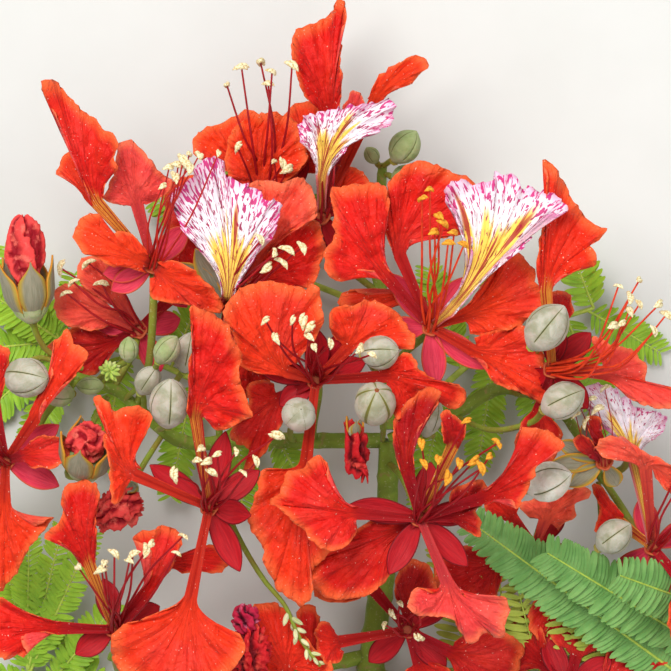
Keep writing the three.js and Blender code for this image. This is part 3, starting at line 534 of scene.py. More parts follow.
# Ways given in millimetres, each with a radius at every point, go through a tree and come out as a plain
# mesh object
def grow(name, ways, tree, skin, **values):
    curve = bpy.data.curves.new(name, "CURVE")
    curve.dimensions = "3D"
    for points, radii in ways:
        spline = curve.splines.new("POLY")
        spline.points.add(len(points) - 1)
        placed = (np.asarray(points) + shift) * mm
        spline.points.foreach_set("co", np.hstack([placed, np.ones((len(points), 1))]).ravel())
        spline.points.foreach_set("radius", np.asarray(radii, float))
    source = addObject(name, curve)
    step = source.modifiers.new(name, "NODES")
    step.node_group = tree
    values["skin"] = finishes[skin]
    for item in tree.interface.items_tree:
        if item.in_out == "INPUT" and item.name in values:
            step[item.identifier] = values[item.name]
    source.update_tag()
    view = bpy.context.evaluated_depsgraph_get()
    mesh = bpy.data.meshes.new_from_object(source.evaluated_get(view))
    bpy.data.objects.remove(source)
    bpy.data.curves.remove(curve)
    mesh.name = name
    return addObject(name, mesh)


# Several meshes of one piece become one, keeping their material slots
def joined(name, pieces):
    meshes = [p.data for p in pieces]
    whole = addObject(name, bpy.data.meshes.new(name))
    with bpy.context.temp_override(active_object=whole, selected_editable_objects=[whole, *pieces]):
        bpy.ops.object.join()
    for mesh in meshes:
        if mesh.users == 0:
            bpy.data.meshes.remove(mesh)
    return whole


limbTree = roundLimbs()
antherTree = anthersOnTips()
leafletTree = pairedLeaflets()
print("node trees built")

# The woody stems: ribbed bark with small swellings, and a clean saw cut at the foot
axes = {
    "main_stem": {
        "points": [(12, -146, 12), (13, -118, 14), (18, -78, 20), (19, -38, 28)],
        "radii": (5.2, 4.6, 4.0, 3.4),
    },
    "axis_top": {
        "points": [(19, -34, 28), (18, 2, 26), (15, 30, 26), (17, 62, 36)],
        "radii": (3.0, 2.4, 1.6),
    },
    "axis_left": {
        "points": [
            (18, -38, 27), (-8, -38, 25), (-34, -38, 29), (-56, -38, 35), (-79, -20, 45), (-95, -14, 49),
        ],
        "radii": (2.9, 2.4, 1.5),
    },
    "axis_right": {
        "points": [(20, -38, 27), (43, -28, 33), (60, -19, 38), (80, -26, 38), (97, -53, 36)],
        "radii": (2.8, 2.3, 1.5),
    },
    "axis_low": {
        "points": [(14, -116, 14), (-18, -122, 18), (-54, -125, 22), (-82, -116, 30)],
        "radii": (2.7, 2.3, 1.5),
    },
}
barkLook = {
    "columns": 20, "stepLength": 1.2, "ribs": 5, "rib": 0.07, "lump": 0.09, "lumpSize": 9.0, "fine": 0.03,
    "fineSize": 2.2, "knot": 0.13, "knotStep": 13.0, "knotWidth": 1.3, "knotSlant": 1.5,
}


def barkTube(points, radii, seed):
    look = barkLook
    length = sum(np.linalg.norm(np.subtract(b, a)) for a, b in zip(points, points[1:]))
    steps = int(length / look["stepLength"])
    way = wayThrough(points, steps)
    girth = np.interp(np.linspace(0, 1, steps + 1), np.linspace(0, 1, len(radii)), radii)
    side = np.array([1.0, 0.3, 0.2])
    turn = circle(look["columns"])
    rings = []
    for k in range(steps + 1):
        along = unit(way[min(k + 1, steps)] - way[max(k - 1, 0)])
        side = unit(side - side.dot(along) * along)
        rings.append(np.outer(np.cos(turn), side) + np.outer(np.sin(turn), np.cross(along, side)))
    rings = np.array(rings)
    bare = way[:, None, :] + rings * girth[:, None, None]
    ribs = np.sin(turn * look["ribs"] + seed)[None, :] * look["rib"]
    swell = roughen(bare, look["lumpSize"], seed) * look["lump"]
    swell = swell + roughen(bare, look["fineSize"], seed + 3) * look["fine"]
    run = np.linspace(0, length, steps + 1)[:, None] + look["knotSlant"] * np.sin(turn + seed)[None, :]
    fromKnot = (run + 5 * seed) % look["knotStep"] - look["knotStep"] / 2
    knots = np.exp(-(fromKnot / look["knotWidth"]) ** 2)
    grown = girth[:, None] * (1 + ribs + swell + look["knot"] * knots)
    return way[:, None, :] + rings * grown[..., None], knots


def makeStems():
    for seed, (name, axis) in enumerate(axes.items()):
        sheaf = Sheaf()
        grid, knots = barkTube(axis["points"], axis["radii"], seed)
        sheaf.tube(grid, knots, footSlot=1 if name == "main_stem" else 0)
        hand(sheaf.build(name + "_bark", "stem", "cutWood"), "stem", name)
    print("stems made:", len(axes))


makeStems()

# Each bloom has its centre, the way its stalk runs back, its petals, and the tips of its sepals and stamens.
# A petal that shows well is drawn after the photograph: its foot and its rim in picture points, and the
# heights of foot and top over the centre. Any other has a neck, a tip and a width in millimetres.
# Its face is red, streaked or back, and its tone runs from deep red, 0, to orange, 1. Both are in part
# painted light:
# petals that lie in shade got a higher tone, and some show the paler back face on top, to lighten them. A
# sepal that is turned shows its outside.
petalDefaults = {
    "face": "red", "tone": 0.45, "golden": False, "cup": 30, "roll": 0, "bow": 3, "bend": 0.34, "fold": 0,
    "crumple": 1.0,
}


def drawn(foot, top, rim, **more):
    return {**petalDefaults, "foot": foot, "top": top, "rim": rim, **more}


def plain(neck, tip, width, **more):
    return {**petalDefaults, "neck": neck, "tip": tip, "width": width, **more}


blooms = {
    "bloom_lower_left": {
        "at": (-45, -61, 84),
        "stalk": [(-44, -58, 66), (-46, -46, 46), (-50, -39, 33)],
        "petals": [
            drawn((197, 418, 8), 16, [188, 411, 190, 390, 190, 366, 195, 339, 193, 306, 206, 311, 219, 318,
                230, 327, 235, 339, 242, 353, 241, 366, 240, 380, 249, 399, 254, 414, 242, 421, 226, 429,
                214, 428, 209, 415], cup=50, bow=7, tone=0.42, crumple=2.2, golden=True),
            drawn((192, 594, 4), 2, [240, 631, 246, 645, 235, 665, 214, 682, 180, 688, 146, 682, 118, 666,
                113, 646, 115, 632, 130, 621, 156, 612, 178, 603], bow=6, tone=0.8),
            drawn((136, 474, 5), 9, [128, 486, 121, 501, 115, 502, 112, 480, 111, 458, 104, 439, 108, 427,
                102, 410, 93, 397, 101, 394, 109, 401, 118, 411, 130, 405, 148, 408, 155, 417, 150, 428,
                140, 442, 136, 458, 142, 468], cup=40, roll=-15, tone=0.8, fold=3),
        ],
        "sepals": [(-21, 15, -1), (11, -23, -3), (15, -3, 4), (6, 27, -1), (18, 13, -3)],
        "stamens": {"rise": 30, "tips": [176, 473, 198, 458, 210, 459, 214, 470, 219, 452, 238, 449, 245,
            470, 258, 459, 279, 434, 204, 446]},
    },
    "bloom_lower_right": {
        "at": (30, -65, 86),
        "stalk": [(29, -62, 66), (24, -51, 42), (19, -46, 27)],
        "petals": [
            drawn((408, 474, 6), 4, [399, 468, 393, 440, 395, 418, 404, 404, 414, 395, 428, 388, 440, 392,
                437, 404, 428, 412, 420, 425, 413, 440, 414, 466], cup=45, roll=10, tone=0.1),
            drawn((358, 512, 5), 7, [353, 520, 357, 528, 350, 540, 338, 549, 326, 548, 314, 540, 300, 526,
                290, 516, 279, 507, 268, 501, 281, 489, 287, 471, 302, 467, 313, 455, 324, 458, 329, 481,
                337, 495, 351, 506], cup=20),
            drawn((402, 528, -6), -15, [404, 541, 401, 556, 390, 575, 378, 587, 359, 597, 339, 600, 318,
                594, 308, 577, 311, 560, 330, 550, 350, 535, 366, 522, 385, 517], cup=14, tone=0.35),
            drawn((446, 580, 6), 3, [454, 582, 466, 596, 486, 595, 504, 595, 508, 606, 504, 622, 500, 636,
                484, 631, 469, 643, 461, 632, 451, 617, 432, 613, 411, 610, 407, 599, 416, 586, 434, 591,
                440, 581], tone=0.55, face="back", fold=3),
            drawn((480, 497, 6), 12, [486, 489, 503, 471, 515, 455, 522, 437, 523, 427, 540, 428, 562, 444,
                547, 455, 534, 467, 528, 483, 522, 497, 516, 508, 510, 498, 498, 498, 486, 504], cup=40,
                roll=12, tone=0.35, fold=2),
            drawn((451, 446, 14), 20, [443, 442, 440, 428, 440, 414, 446, 408, 452, 414, 459, 418, 465, 424,
                463, 434, 459, 443], cup=55, tone=0.2, golden=True),
            drawn((450, 515, 1), -1, [448, 500, 452, 488, 466, 481, 480, 479, 487, 487, 482, 500, 476, 512,
                481, 526, 479, 537, 470, 532, 460, 526], tone=0.1, crumple=1.8),
        ],
        "sepals": [(-25, 5, 0), (-11, -20, -3), (17, -17, -2), (4, 20, -4), (20, 3, -4)],
        "warmAnthers": True,
        "stamens": {"rise": 28, "tips": [420, 441, 423, 461, 437, 456, 447, 475, 458, 460, 473, 459, 480,
            466, 488, 454, 496, 441, 465, 419]},
    },
    "bloom_centre": {
        "at": (-7, -16, 78),
        "stalk": [(-6, -20, 60), (-8, -33, 38), (-8, -38, 25)],
        "petals": [
            drawn((288, 372, 6), 13, [262, 374, 242, 366, 233, 352, 233, 335, 226, 320, 226, 304, 236, 292,
                250, 285, 268, 281, 285, 285, 298, 286, 307, 293, 309, 285, 318, 287, 319, 297, 322, 308,
                324, 322, 318, 336, 306, 350, 296, 364], tone=0.85, bow=2),
            drawn((280, 398, -7), -12, [286, 412, 280, 428, 270, 443, 260, 458, 250, 470, 243, 471, 250,
                452, 246, 447, 236, 445, 231, 436, 233, 424, 246, 414, 250, 400, 246, 386, 262, 380, 274,
                384], tone=0.4),
            drawn((306, 462, 1), -6, [318, 458, 328, 470, 334, 492, 340, 516, 336, 540, 326, 557, 310, 573,
                312, 593, 306, 606, 288, 599, 274, 581, 265, 561, 261, 544, 249, 522, 251, 507, 258, 485,
                262, 469, 289, 470, 299, 465], cup=25, bow=4, tone=0.8, crumple=1.3),
            drawn((346, 350, 3), 2, [336, 340, 329, 326, 331, 311, 340, 306, 354, 306, 364, 301, 377, 301,
                390, 309, 406, 323, 414, 339, 411, 350, 396, 346, 381, 337, 362, 341, 353, 350], cup=35,
                roll=-8, tone=0.8),
            drawn((386, 376, 6), 6, [380, 370, 393, 360, 408, 352, 425, 374, 443, 381, 461, 386, 466, 395,
                460, 408, 448, 407, 437, 390, 426, 388, 414, 400, 404, 413, 395, 418, 391, 400, 384, 386],
                tone=0.65, fold=3),
        ],
        "sepals": [(1, 18, 6), (12, 18, 5), (18, 7, 4), (-22, 6, 0), (-13, -9, -2)],
        "stamens": {"rise": 30, "tips": [266, 320, 276, 338, 293, 320, 303, 321, 310, 327, 309, 336, 314,
            346, 331, 344, 361, 348, 372, 354]},
    },
    "bloom_centre_right": {
        "at": (34, 3, 72),
        "stalk": [(32, 0, 58), (23, -8, 38), (17.5, -14, 26)],
        "petals": [
            drawn((448, 312, 9), 22, [453, 300, 461, 287, 469, 268, 471, 252, 468, 236, 460, 223, 452, 213,
                446, 200, 448, 188, 460, 181, 471, 187, 483, 183, 493, 182, 496, 172, 507, 176, 519, 179,
                522, 188, 537, 191, 550, 197, 563, 205, 561, 214, 548, 216, 537, 223, 532, 235, 522, 245,
                510, 252, 492, 270, 475, 288, 462, 302], cup=28, bow=6, bend=0.56, face="streaked", tone=0.3
                ),
            drawn((390, 281, 8), 11, [374, 271, 358, 270, 343, 281, 328, 275, 325, 256, 332, 238, 334, 216,
                330, 200, 331, 188, 343, 187, 358, 185, 371, 182, 382, 184, 388, 193, 388, 206, 382, 219,
                380, 238, 381, 258, 390, 272], cup=35, roll=-10, crumple=1.6),
            drawn((400, 256, 2), 5, [390, 246, 385, 232, 384, 216, 387, 202, 387, 188, 399, 174, 412, 163,
                425, 162, 436, 165, 452, 172, 461, 174, 472, 184, 478, 200, 472, 226, 455, 236, 430, 238,
                412, 238, 408, 248], cup=25, tone=0.55),
            drawn((462, 316, 1), 4, [470, 303, 476, 294, 490, 274, 502, 258, 511, 249, 522, 257, 534, 270,
                534, 280, 543, 290, 548, 300, 539, 313, 522, 324, 505, 330, 490, 336, 470, 334], cup=20,
                tone=0.9),
            drawn((472, 350, 1), 0, [474, 338, 488, 332, 511, 326, 524, 326, 533, 338, 539, 348, 548, 369,
                557, 389, 558, 400, 547, 404, 526, 396, 508, 389, 491, 380, 486, 363, 476, 358], tone=0.8,
                crumple=1.8),
            drawn((420, 300, -6), -8, [396, 296, 372, 296, 350, 290, 338, 300, 350, 312, 372, 312, 398,
                306], tone=0.8),
        ],
        "sepals": [(-14, 19, 0), (2, -21, -2), (20, -15, -1), (13, 18, -3), (-16, -1, -5)],
        "sepalSkin": "sepalPink",
        "filaments": "filamentWarm",
        "warmAnthers": True,
        "stamens": {"rise": 30, "tips": [421, 199, 429, 190, 437, 216, 443, 224, 453, 233, 463, 245, 447,
            243, 434, 232]},
    },
    "bloom_right": {
        "at": (77, -12, 82),
        "stalk": [(75, -16, 64), (68, -21, 48), (63, -20, 38)],
        "petals": [
            drawn((545, 292, 3), 6, [538, 284, 535, 270, 537, 252, 541, 224, 547, 195, 544, 168, 542, 161,
                549, 162, 560, 180, 573, 201, 590, 222, 605, 229, 601, 236, 590, 247, 596, 258, 595, 266,
                582, 267, 569, 274, 556, 273, 550, 284], cup=20, roll=-10, tone=0.7, fold=3, golden=True),
            drawn((600, 373, 4), 7, [601, 360, 592, 347, 591, 335, 600, 340, 612, 345, 634, 352, 644, 368,
                644, 382, 656, 386, 668, 388, 682, 392, 684, 404, 671, 410, 652, 406, 630, 400, 613, 383],
                tone=0.7, face="back"),
            plain((-4, -14, -14), (-5, -35, -30), 16, cup=40, tone=0.3),
            plain((3, 15, -13), (3, 28, -19), 10, tone=0.2),
        ],
        "sepals": [(2, 16, -2), (14, 13, -5), (13, -14, -6), (-13, -7, -20)],
        "filaments": "filamentWarm",
        "stamens": {"rise": 26, "sweep": (4, -6, 0), "tips": [615, 286, 636, 280, 627, 297, 626, 310, 636,
            304, 611, 325, 619, 323, 656, 304, 663, 314, 651, 331]},
    },
    "bloom_upper_left": {
        "at": (-65, 25, 76),
        "stalk": [(-65, 14, 70), (-67, -10, 56), (-72, -26, 42)],
        "petals": [
            drawn((99, 204, 8), 15, [91, 196, 81, 173, 71, 150, 60, 121, 43, 84, 51, 81, 60, 87, 86, 112,
                106, 131, 114, 135, 120, 147, 115, 160, 120, 168, 108, 182, 104, 196], roll=10, tone=0.35,
                fold=5, golden=True),
            drawn((138, 206, 2), 0, [124, 206, 104, 199, 110, 182, 117, 160, 118, 146, 128, 140, 139, 144,
                148, 158, 161, 173, 173, 181, 172, 190, 156, 201, 146, 205], cup=-30, bow=5, face="back",
                tone=0.6),
            drawn((145, 262, 4), 6, [148, 274, 130, 268, 108, 265, 95, 259, 82, 250, 76, 239, 78, 225, 88,
                214, 99, 214, 103, 228, 106, 237, 117, 233, 130, 233, 141, 242, 150, 254], tone=0.95),
            drawn((160, 272, 2), 1, [158, 262, 178, 261, 195, 271, 206, 281, 221, 296, 222, 313, 205, 312,
                190, 305, 170, 302, 152, 298, 150, 278], tone=0.85),
            drawn((90, 196, -9), -12, [82, 190, 66, 178, 56, 173, 62, 159, 72, 151, 84, 160, 100, 178],
                tone=0.9),
        ],
        "sepals": [(-18, -3, -3), (-15, -9, -3), (12, -15, -4), (12, 14, -4)],
        "sepalSkin": "sepalPink",
        "filaments": "filamentMid",
        "stamens": {"rise": 24, "thin": 0.8, "tips": [191, 155, 201, 156, 180, 166, 192, 168, 171, 168, 185,
            161, 165, 187, 220, 154, 177, 177]},
    },
    "bloom_streaked": {
        "at": (-39, 11, 70),
        "stalk": [(-40, 2, 55), (-42, -20, 40), (-42, -38, 31)],
        "petals": [
            drawn((228, 297, 10), 15, [222, 284, 213, 267, 202, 251, 190, 238, 181, 225, 173, 212, 172, 199,
                180, 188, 190, 181, 195, 168, 208, 160, 221, 159, 226, 174, 239, 181, 252, 188, 267, 198,
                280, 204, 280, 213, 275, 231, 265, 241, 253, 262, 243, 277, 236, 288], cup=24, bow=6,
                face="streaked", tone=0.8),
            drawn((254, 262, 3), 7, [250, 246, 256, 228, 250, 206, 252, 184, 262, 181, 280, 184, 289, 180,
                304, 179, 312, 190, 316, 201, 319, 210, 312, 221, 300, 226, 286, 236, 270, 252], tone=0.85,
                face="back", crumple=2.0),
            drawn((262, 280, -2), 0, [258, 262, 276, 238, 296, 222, 316, 220, 324, 236, 322, 262, 312, 284,
                292, 290, 274, 288], tone=0.5, crumple=1.6),
            plain((6, -14, -9), (10, -34, -17), 16, cup=40, tone=0.3),
        ],
        "sepals": [(-11, 20, 2, "turned"), (-16.5, 15, 0, "turned"), (14, 2, -6), (4, -18, -8)],
        "stamens": {"rise": 22, "tips": [276, 253, 283, 262, 288, 249, 303, 247, 268, 268, 262, 240]},
    },
    "bloom_bottom_left": {
        "at": (-79, -105, 68),
        "stalk": [(-79, -114, 60), (-78, -121, 46), (-76, -120, 28)],
        "petals": [
            drawn((90, 566, 5), 9, [80, 562, 62, 541, 45, 537, 62, 517, 62, 495, 72, 482, 87, 480, 101, 487,
                97, 517, 97, 537, 95, 558], cup=40, tone=0.35, fold=2, golden=True),
            drawn((142, 598, 4), 4, [145, 588, 152, 572, 153, 558, 149, 545, 133, 537, 152, 528, 174, 527,
                182, 538, 178, 554, 166, 575, 152, 594], cup=45),
            drawn((62, 628, 2), 3, [56, 634, 43, 631, 26, 633, 22, 641, 26, 654, 13, 657, 0, 659, -14, 650,
                -20, 628, -12, 606, 0, 597, 13, 605, 33, 614, 54, 622], cup=35),
            drawn((166, 566, -8), -14, [176, 556, 190, 552, 214, 546, 229, 562, 222, 573, 200, 572, 182,
                574], tone=0.5),
            plain((4, -15, 0), (6, -38, -6), 28, cup=40, tone=0.4),
        ],
        "sepals": [(-14, -9, -2), (14, -10, -5), (-4, 18, -5), (16, 8, -10)],
        "stamens": {"rise": 22, "tips": [79, 565, 106, 560, 116, 551, 134, 552, 148, 548, 178, 551, 185,
            534, 131, 559, 103, 567, 153, 542]},
    },
    "bloom_left_edge": {
        "at": (-118, -45, 64),
        "stalk": [(-112, -43, 54), (-104, -28, 51), (-92, -15, 48)],
        "petals": [
            drawn((-6, 404, 6), 8, [-14, 396, -22, 370, -24, 350, -10, 344, 4, 346, 10, 352, 8, 372, 2,
                396], cup=45, tone=0.3),
            drawn((34, 420, 8), 13, [30, 412, 36, 398, 45, 388, 52, 377, 54, 356, 61, 334, 68, 330, 76, 343,
                87, 352, 87, 359, 80, 371, 67, 384, 52, 392, 42, 404, 38, 416], roll=25, tone=0.75),
            drawn((4, 500, 2), -2, [10, 520, 33, 526, 54, 517, 43, 531, 28, 552, 13, 574, 0, 591, -12, 588,
                -20, 570, -22, 545, -10, 518], cup=35, tone=0.85),
            plain((6, 2, 6), (23, 5, 8), 12, cup=60, tone=0.4),
            plain((-14, 0, 3), (-40, -8, 2), 30, cup=35),
        ],
        "sepals": [(19, 13, -3), (19, -9, -2), (-12, 14, -6), (-14, -14, -6)],
        "sepalSkin": "sepalPink",
        "stamens": {"rise": 24, "tips": [-24, 420, -16, 412, -30, 432, -12, 428, -22, 440]},
    },
    "bloom_top": {
        "at": (-5, 43, 50),
        "stalk": [(0, 37, 40), (10, 29, 31), (15, 25, 26)],
        "petals": [
            drawn((322, 176, 10), 18, [315, 165, 308, 147, 301, 139, 297, 129, 302, 122, 309, 114, 326, 111,
                346, 106, 366, 104, 386, 100, 396, 106, 394, 119, 387, 126, 376, 134, 364, 137, 352, 144,
                346, 150, 338, 160, 331, 167], cup=25, bow=5, bend=0.5, face="streaked", tone=0.55),
            drawn((329, 114, -5), -6, [318, 107, 306, 96, 298, 80, 296, 63, 291, 49, 293, 34, 296, 26, 312,
                21, 326, 15, 333, 6, 338, -4, 345, 0, 346, 8, 344, 22, 341, 42, 342, 75, 340, 106], cup=35,
                tone=0.4, fold=3),
            drawn((375, 100, 2), 6, [368, 98, 374, 83, 382, 71, 400, 61, 414, 55, 427, 59, 431, 66, 419, 75,
                412, 84, 400, 83, 390, 90, 382, 100], cup=40, roll=20, tone=0.95),
            drawn((352, 112, -1), 0, [342, 108, 348, 94, 354, 87, 361, 92, 366, 104], cup=40, tone=0.6,
                face="back"),
            drawn((334, 196, -4), -2, [328, 184, 332, 166, 348, 164, 360, 168, 368, 176, 366, 188, 350,
                190], tone=0.8),
            plain((-9, -12, -8), (-26, -26, -20), 22, cup=40, tone=0.2),
        ],
        "sepals": [(16, 10, -6), (-14, 12, -6), (10, -16, -8), (-18, -4, -10)],
        "stamens": {"rise": 6, "tips": [336, 138, 342, 130, 330, 128, 326, 140]},
    },
    "bloom_top_left": {
        "at": (-24, 49, 40),
        "stalk": [(-16, 40, 33), (2, 26, 28), (15, 16, 26)],
        "petals": [
            drawn((244, 168, 3), 2, [232, 172, 208, 163, 192, 151, 193, 135, 202, 126, 217, 121, 230, 116,
                245, 109, 256, 112, 262, 124, 258, 142, 252, 160], tone=1.0),
            drawn((262, 187, 6), 6, [252, 185, 232, 180, 224, 163, 225, 147, 230, 131, 241, 118, 256, 112,
                273, 111, 288, 115, 299, 125, 304, 140, 307, 152, 302, 165, 288, 178, 272, 185], cup=15,
                bow=2, tone=0.85),
            plain((-16, -2, -4), (-38, -4, -12), 24, cup=35, tone=0.4),
            drawn((300, 160, -6), -4, [288, 140, 284, 112, 292, 103, 300, 100, 310, 99, 318, 104, 326, 112,
                322, 130, 314, 150], cup=20, tone=0.9),
            plain((10, 12, -8), (28, 28, -17), 22, cup=35, tone=0.2),
        ],
        "sepals": [(-18, 8, -8), (-14, -14, -8), (14, 14, -8)],
        "stamens": {"rise": 20, "tips": [226, 83, 241, 65, 260, 60, 272, 70, 268, 82, 292, 63, 237, 146,
            274, 160, 283, 163, 288, 168]},
    },
    "bloom_right_edge": {
        "at": (114, -76, 50),
        "stalk": [(109, -71, 44), (102, -60, 39), (96, -51, 36)],
        "petals": [
            drawn((634, 456, 8), 13, [627, 447, 616, 435, 598, 421, 584, 408, 579, 395, 592, 385, 614, 387,
                624, 394, 634, 405, 651, 409, 665, 415, 671, 422, 658, 436, 646, 446, 641, 454], cup=22,
                bow=5, face="streaked", tone=-0.4),
            drawn((646, 470, 18), 23, [640, 461, 618, 460, 602, 456, 594, 447, 597, 441, 608, 435, 628, 441,
                648, 453, 671, 465, 690, 476, 692, 496, 671, 494, 656, 478], cup=40, tone=0.9, face="back"),
            plain((12, 9, 2), (32, 26, 2), 26, cup=40, tone=0.4),
            plain((10, -12, 0), (22, -34, -6), 24, cup=40, tone=0.4),
            drawn((622, 524, 0), -4, [616, 530, 604, 535, 597, 534, 602, 512, 592, 488, 600, 486, 612, 500,
                626, 516], cup=40, tone=0.4, golden=True),
        ],
        "sepals": [(-4, 18, -3), (16, 8, -6), (-14, -12, -8), (4, -20, -8)],
        "sepalSkin": "sepalPink",
        "stamens": {"rise": 24, "tips": [690, 470, 698, 482, 684, 460, 700, 496]},
    },
    "bloom_spent": {
        "at": (96, -45, 68),
        "stalk": [(103, -41, 66), (104, -47, 52), (97, -51, 37)],
        "petals": [
            plain((-4, 3, 4), (-10, 9, 5), 6, cup=60, tone=0.0),
            plain((-2, 6, 4), (-4, 16, 5), 5, cup=60, tone=0.0),
        ],
        "sepals": [(-20, -1, 5), (-17, 7, 4), (-12.5, -9, 3), (5, -9, -9), (-8, 13, 2)],
        "sepalsTurned": True,
        "sepalWidth": 6.8,
        "stamens": {"rise": 8, "thin": 0.5, "tips": [604, 387, 578, 404, 575, 414, 597, 408, 584, 422, 591,
            398]},
    },
    "bloom_back_left": {
        "at": (-71, 2, 46),
        "stalk": [(-73, -6, 45), (-76, -12, 45), (-80, -19, 45)],
        "petals": [
            drawn((114, 318, 0), -3, [108, 326, 90, 330, 66, 324, 52, 306, 54, 290, 70, 284, 92, 292, 110,
                308], tone=0.8, face="back"),
            drawn((120, 304, 2), 3, [108, 304, 90, 292, 76, 276, 78, 262, 94, 254, 112, 268, 124, 292],
                cup=35, tone=0.8, face="back"),
            plain((-8, -4, -4), (-32, -12, -14), 18, cup=40, tone=0.1),
            plain((10, 10, -8), (26, 34, -20), 24, cup=35, tone=0.3),
        ],
        "sepals": [(-18, 4, -6), (15, 4, -8), (8, -15, -8)],
        "sepalSkin": "sepalPink",
        "stamens": {"rise": 8, "tips": [58, 267, 71, 281, 64, 292, 86, 262, 100, 282]},
    },
    "bloom_back_bottom": {
        "at": (26, -106, 42),
        "stalk": [(24, -108, 32), (20, -108, 22), (14, -106, 15)],
        "petals": [
            drawn((409, 618, 2), 8, [400, 610, 395, 593, 398, 574, 407, 563, 418, 560, 430, 566, 437, 590,
                434, 612, 420, 622], cup=35, tone=0.15),
            plain((-12, 14, -1), (-34, 26, -8), 22, cup=40, tone=0.3),
            drawn((340, 644, 5), 8, [334, 632, 326, 622, 318, 626, 314, 640, 318, 656, 328, 666, 340, 664,
                344, 654], tone=0.6),
            plain((15, -8, -4), (40, -14, -10), 24, cup=35, tone=0.2),
            plain((4, -12, -6), (12, -38, -16), 28, cup=35, tone=0.3),
        ],
        "sepals": [(16, 12, -8), (-14, -12, -8), (14, -14, -8)],
        "stamens": {"rise": 14, "tips": [392, 616, 400, 604, 414, 600, 426, 608, 384, 626, 420, 640]},
    },
    "bloom_below": {
        "at": (-14, -131, 46),
        "stalk": [(-14, -128, 34), (-15, -125, 26), (-16, -122, 18)],
        "petals": [
            drawn((288, 676, 2), 3, [272, 682, 256, 652, 250, 622, 254, 607, 268, 604, 286, 611, 302, 632,
                316, 651, 330, 661, 333, 674, 312, 684], cup=20, tone=0.7),
            drawn((306, 676, 0), -2, [298, 664, 300, 640, 297, 614, 306, 606, 315, 612, 321, 635, 331, 655,
                322, 672], tone=0.5),
            plain((-14, 2, 2), (-40, 2, -4), 26, cup=40, tone=0.4),
            plain((14, -4, -2), (24, -20, -8), 26, cup=40, tone=0.4),
            plain((-6, -10, 0), (-14, -28, -6), 28, cup=35, tone=0.4),
        ],
        "sepals": [(-16, 10, -6), (16, 6, -6), (8, -18, -8)],
    },
    "bloom_back_right": {
        "at": (84, -127, 36),
        "stalk": [(70, -130, 31), (44, -128, 22), (13, -122, 14)],
        "petals": [
            plain((-9, 8, -6), (-26, 22, -14), 22, tone=0.2),
            plain((3, 11, -6), (6, 30, -14), 24, tone=0.3),
            plain((12, 2, -6), (36, 10, -14), 26, tone=0.2),
            plain((4, -12, -2), (12, -30, -8), 28, cup=35, tone=0.3),
            plain((-12, -7, -2), (-34, -18, -8), 24, cup=35, tone=0.3),
        ],
        "sepals": [(-8, 18, -6), (16, 10, -6), (10, -16, -8)],
    },
    "bloom_back_low": {
        "at": (72, -76, 41),
        "stalk": [(75, -66, 38), (82, -48, 38), (88, -36, 37)],
        "petals": [
            drawn((546, 524, 4), 8, [532, 520, 520, 507, 538, 499, 558, 493, 590, 488, 589, 499, 579, 503,
                578, 517, 567, 523, 560, 532], cup=25, tone=1.0, face="back"),
            drawn((514, 520, 4), 6, [502, 520, 486, 512, 484, 501, 496, 497, 510, 500, 520, 510], cup=35,
                tone=0.6),
            plain((-12, -6, -6), (-34, -18, -14), 26, cup=35, tone=0.2),
            plain((6, -12, -8), (14, -36, -16), 26, cup=35, tone=0.3),
        ],
        "sepals": [(10, 14, -6), (-18, 2, -8), (16, -6, -8)],
    },
}
photoMiddle = np.array([335.5, 335.5])
photoScale = 2.8  # picture points to a millimetre


def fromPhoto(numbers):
    places = (np.array(numbers, float).reshape(-1, 2) - photoMiddle) / photoScale
    return places * [1, -1]


petalLook = {
    "clawRows": 9, "bladeRows": 30, "columnStep": 1.3, "columns": (33, 121), "finer": 1.5, "rowEase": 0.85,
    "seat": 1.6, "clawWidth": 3.0, "neckWidth": 4.6, "clawArch": 1.2622, "clawShare": 0.3, "trough": 0.9,
    "thread": 0.12, "arch": 2.2, "foldAt": 0.25, "foldSway": 0.3, "foldSize": 16.0, "thickness": 0.36,
    "outline": [
        (-0.30, 0.06), (-0.72, 0.22), (-0.97, 0.48), (-0.93, 0.74), (-0.62, 0.95), (-0.2, 1.02), (0.2, 0.98),
        (0.62, 0.96), (0.95, 0.72), (0.96, 0.46), (0.70, 0.20), (0.28, 0.06),
    ],
}
ruffleLook = {
    "broad": 1.7, "broadLength": 14.0, "fine": 0.7, "fineLength": 4.4, "crumple": 1.5, "crumpleSize": 8.5,
    "creases": 0.9, "creaseSize": 5.4, "wrinkles": 0.42, "wrinkleSize": 2.7, "pleats": 0.8, "pleatStep": 5.5,
    "brim": 2.6, "brimStep": 9, "edge": 1.05, "frill": 1.9, "jagStep": 3.0, "nick": 0.6, "nickStep": 1.5,
    "calm": 0.25, "unrest": 1.6,
}


# The rim of a petal that isn't drawn after the photograph
def plainRim(neck, tip, width, seed):
    onward = (tip - neck)[:2]
    sideways = rightOf(onward) / np.linalg.norm(onward) * width / 2
    rim = []
    for k, (side, along) in enumerate(petalLook["outline"]):
        sway = wild(k * 1.7, seed * 3.3, 0.5)
        rim.append(neck[:2] + sideways * (side + 0.16 * sway[0]) + onward * (along + 0.09 * sway[1]))
    return np.array(rim)


